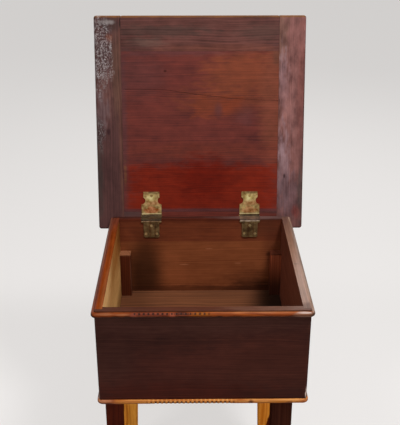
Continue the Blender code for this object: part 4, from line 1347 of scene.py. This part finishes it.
@dataclass
class Studio:
    """Plain pale floor, soft overhead lights and the camera of the photograph."""

    floor_size: float = 30.0
    floor_colour: str = "efecea"
    floor_glow: float = 0.7
    camera_place: Triple = (-0.0207, -1.6579, 1.5379)
    camera_turn_deg: Triple = (65.41, 0.0, -0.61)
    focal_px: float = 810.1
    frame_px: tuple[int, int] = (400, 425)
    sensor_mm: float = 36.0
    aim: Triple = (0.0, -0.05, 0.75)
    lamps: tuple[tuple[str, Triple, float, float], ...] = (
        ("overhead_right", (0.8, -0.7, 2.9), 0.45, 52.0),
        ("overhead_left", (-0.95, -0.75, 2.8), 0.45, 19.0),
        ("front_fill", (0.2, -2.6, 3.3), 2.0, 30.0),
        ("rear_fill", (0.6, 2.7, 2.6), 1.6, 34.0),
    )
    world_strength: float = 0.11
    room_colour: str = "fffdfa"
    room_ends: tuple[float, float] = (-0.3, 0.5)
    room_glow: tuple[float, float] = (0.6, 0.95)

    def build(self) -> None:
        """Make the floor, the lights, the world and the camera."""
        self.build_floor()
        for name, place, size, power in self.lamps:
            light = bpy.data.lights.new(name, "AREA")
            light.size = size
            light.energy = power
            lamp = place_object(name, light)
            lamp.location = place
            lamp.rotation_euler = (Vector(self.aim) - Vector(place)).to_track_quat("-Z", "Y").to_euler()
        self.build_world()
        self.build_camera()
        bpy.context.scene.view_settings.view_transform = "Standard"

    @staticmethod
    def seen_rays(graph: Graph) -> Socket:
        """1 for rays that show the studio, directly or in a gloss or glass, and 0 for those that light.

        Args:
            graph: Nodes of the floor or the world.

        Returns:
            The value.
        """
        ray = graph.add("LightPath").node.outputs
        seen = graph.add("Math", {0: ray["Is Camera Ray"], 1: ray["Is Glossy Ray"]}, operation="MAXIMUM")
        return graph.add("Math", {0: seen, 1: ray["Is Transmission Ray"]}, operation="MAXIMUM")

    def build_floor(self) -> None:
        """Lay a plain floor under the feet."""
        body = bmesh.new()
        bmesh.ops.create_grid(body, x_segments=1, y_segments=1, size=self.floor_size / 2)
        floor = place_object("studio_floor", mesh_of("studio_floor", body))
        material = bpy.data.materials.new("pale_floor")
        material.use_nodes = True
        graph = Graph(material.node_tree)
        lit = graph.add("BsdfDiffuse", {"Color": linear(self.floor_colour)})
        pale = graph.add("Emission", {"Color": linear(self.floor_colour), "Strength": 1.0})
        share = graph.add("Math", {0: self.seen_rays(graph), 1: self.floor_glow}, operation="MULTIPLY")
        graph.add("OutputMaterial", {"Surface": graph.add("MixShader", {0: share, 1: lit, 2: pale})})
        floor.data.materials.append(material)

    def build_world(self) -> None:
        """Light the scene evenly, and show camera and gloss a paler room that is darker behind the camera."""
        world = bpy.data.worlds.new("studio")
        bpy.context.scene.world = world
        world.use_nodes = True
        graph = Graph(world.node_tree)
        depth = graph.add("SeparateXYZ", {0: graph.add("TexCoord", out="Generated")}, out=1)
        (near, far), (dim, bright) = self.room_ends, self.room_glow
        ends = {1: near, 2: far, 3: dim, 4: bright}
        room = graph.add("MapRange", {0: depth, **ends}, interpolation_type="SMOOTHSTEP")
        strength = graph.add("Mix", {0: self.seen_rays(graph), 2: self.world_strength, 3: room})
        background = graph.add("Background", {"Color": linear(self.room_colour), "Strength": strength})
        graph.add("OutputWorld", {"Surface": background})

    def build_camera(self) -> None:
        """Place the camera, whose sensor width covers the frame's long side."""
        data = bpy.data.cameras.new("photo_camera")
        data.sensor_width = self.sensor_mm
        data.lens = self.sensor_mm * self.focal_px / max(self.frame_px)
        camera = place_object("photo_camera", data)
        camera.location = self.camera_place
        camera.rotation_euler = tuple(math.radians(angle) for angle in self.camera_turn_deg)
        bpy.context.scene.camera = camera


def main() -> None:
    """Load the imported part, dress it and set up the studio."""
    logging.basicConfig(level=logging.INFO, format="%(name)s: %(message)s")
    for item in list(bpy.data.objects):
        bpy.data.objects.remove(item)
    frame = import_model()
    dresser = Dresser(frame["nodes"])
    hinge = next(joint for joint in frame["joints"] if joint["name"] == "lid_hinge")
    Box(dresser).build()
    Mouldings(dresser).build()
    Stand(dresser).build()
    lid = Lid(dresser, Vector(hinge["pos_m"]), math.radians(hinge["range_deg"][1]))
    lid.build()
    Hinges(dresser, lid.hinge_axis, lid.axes()[1]).build()
    Studio().build()


if __name__ == "__main__":
    main()
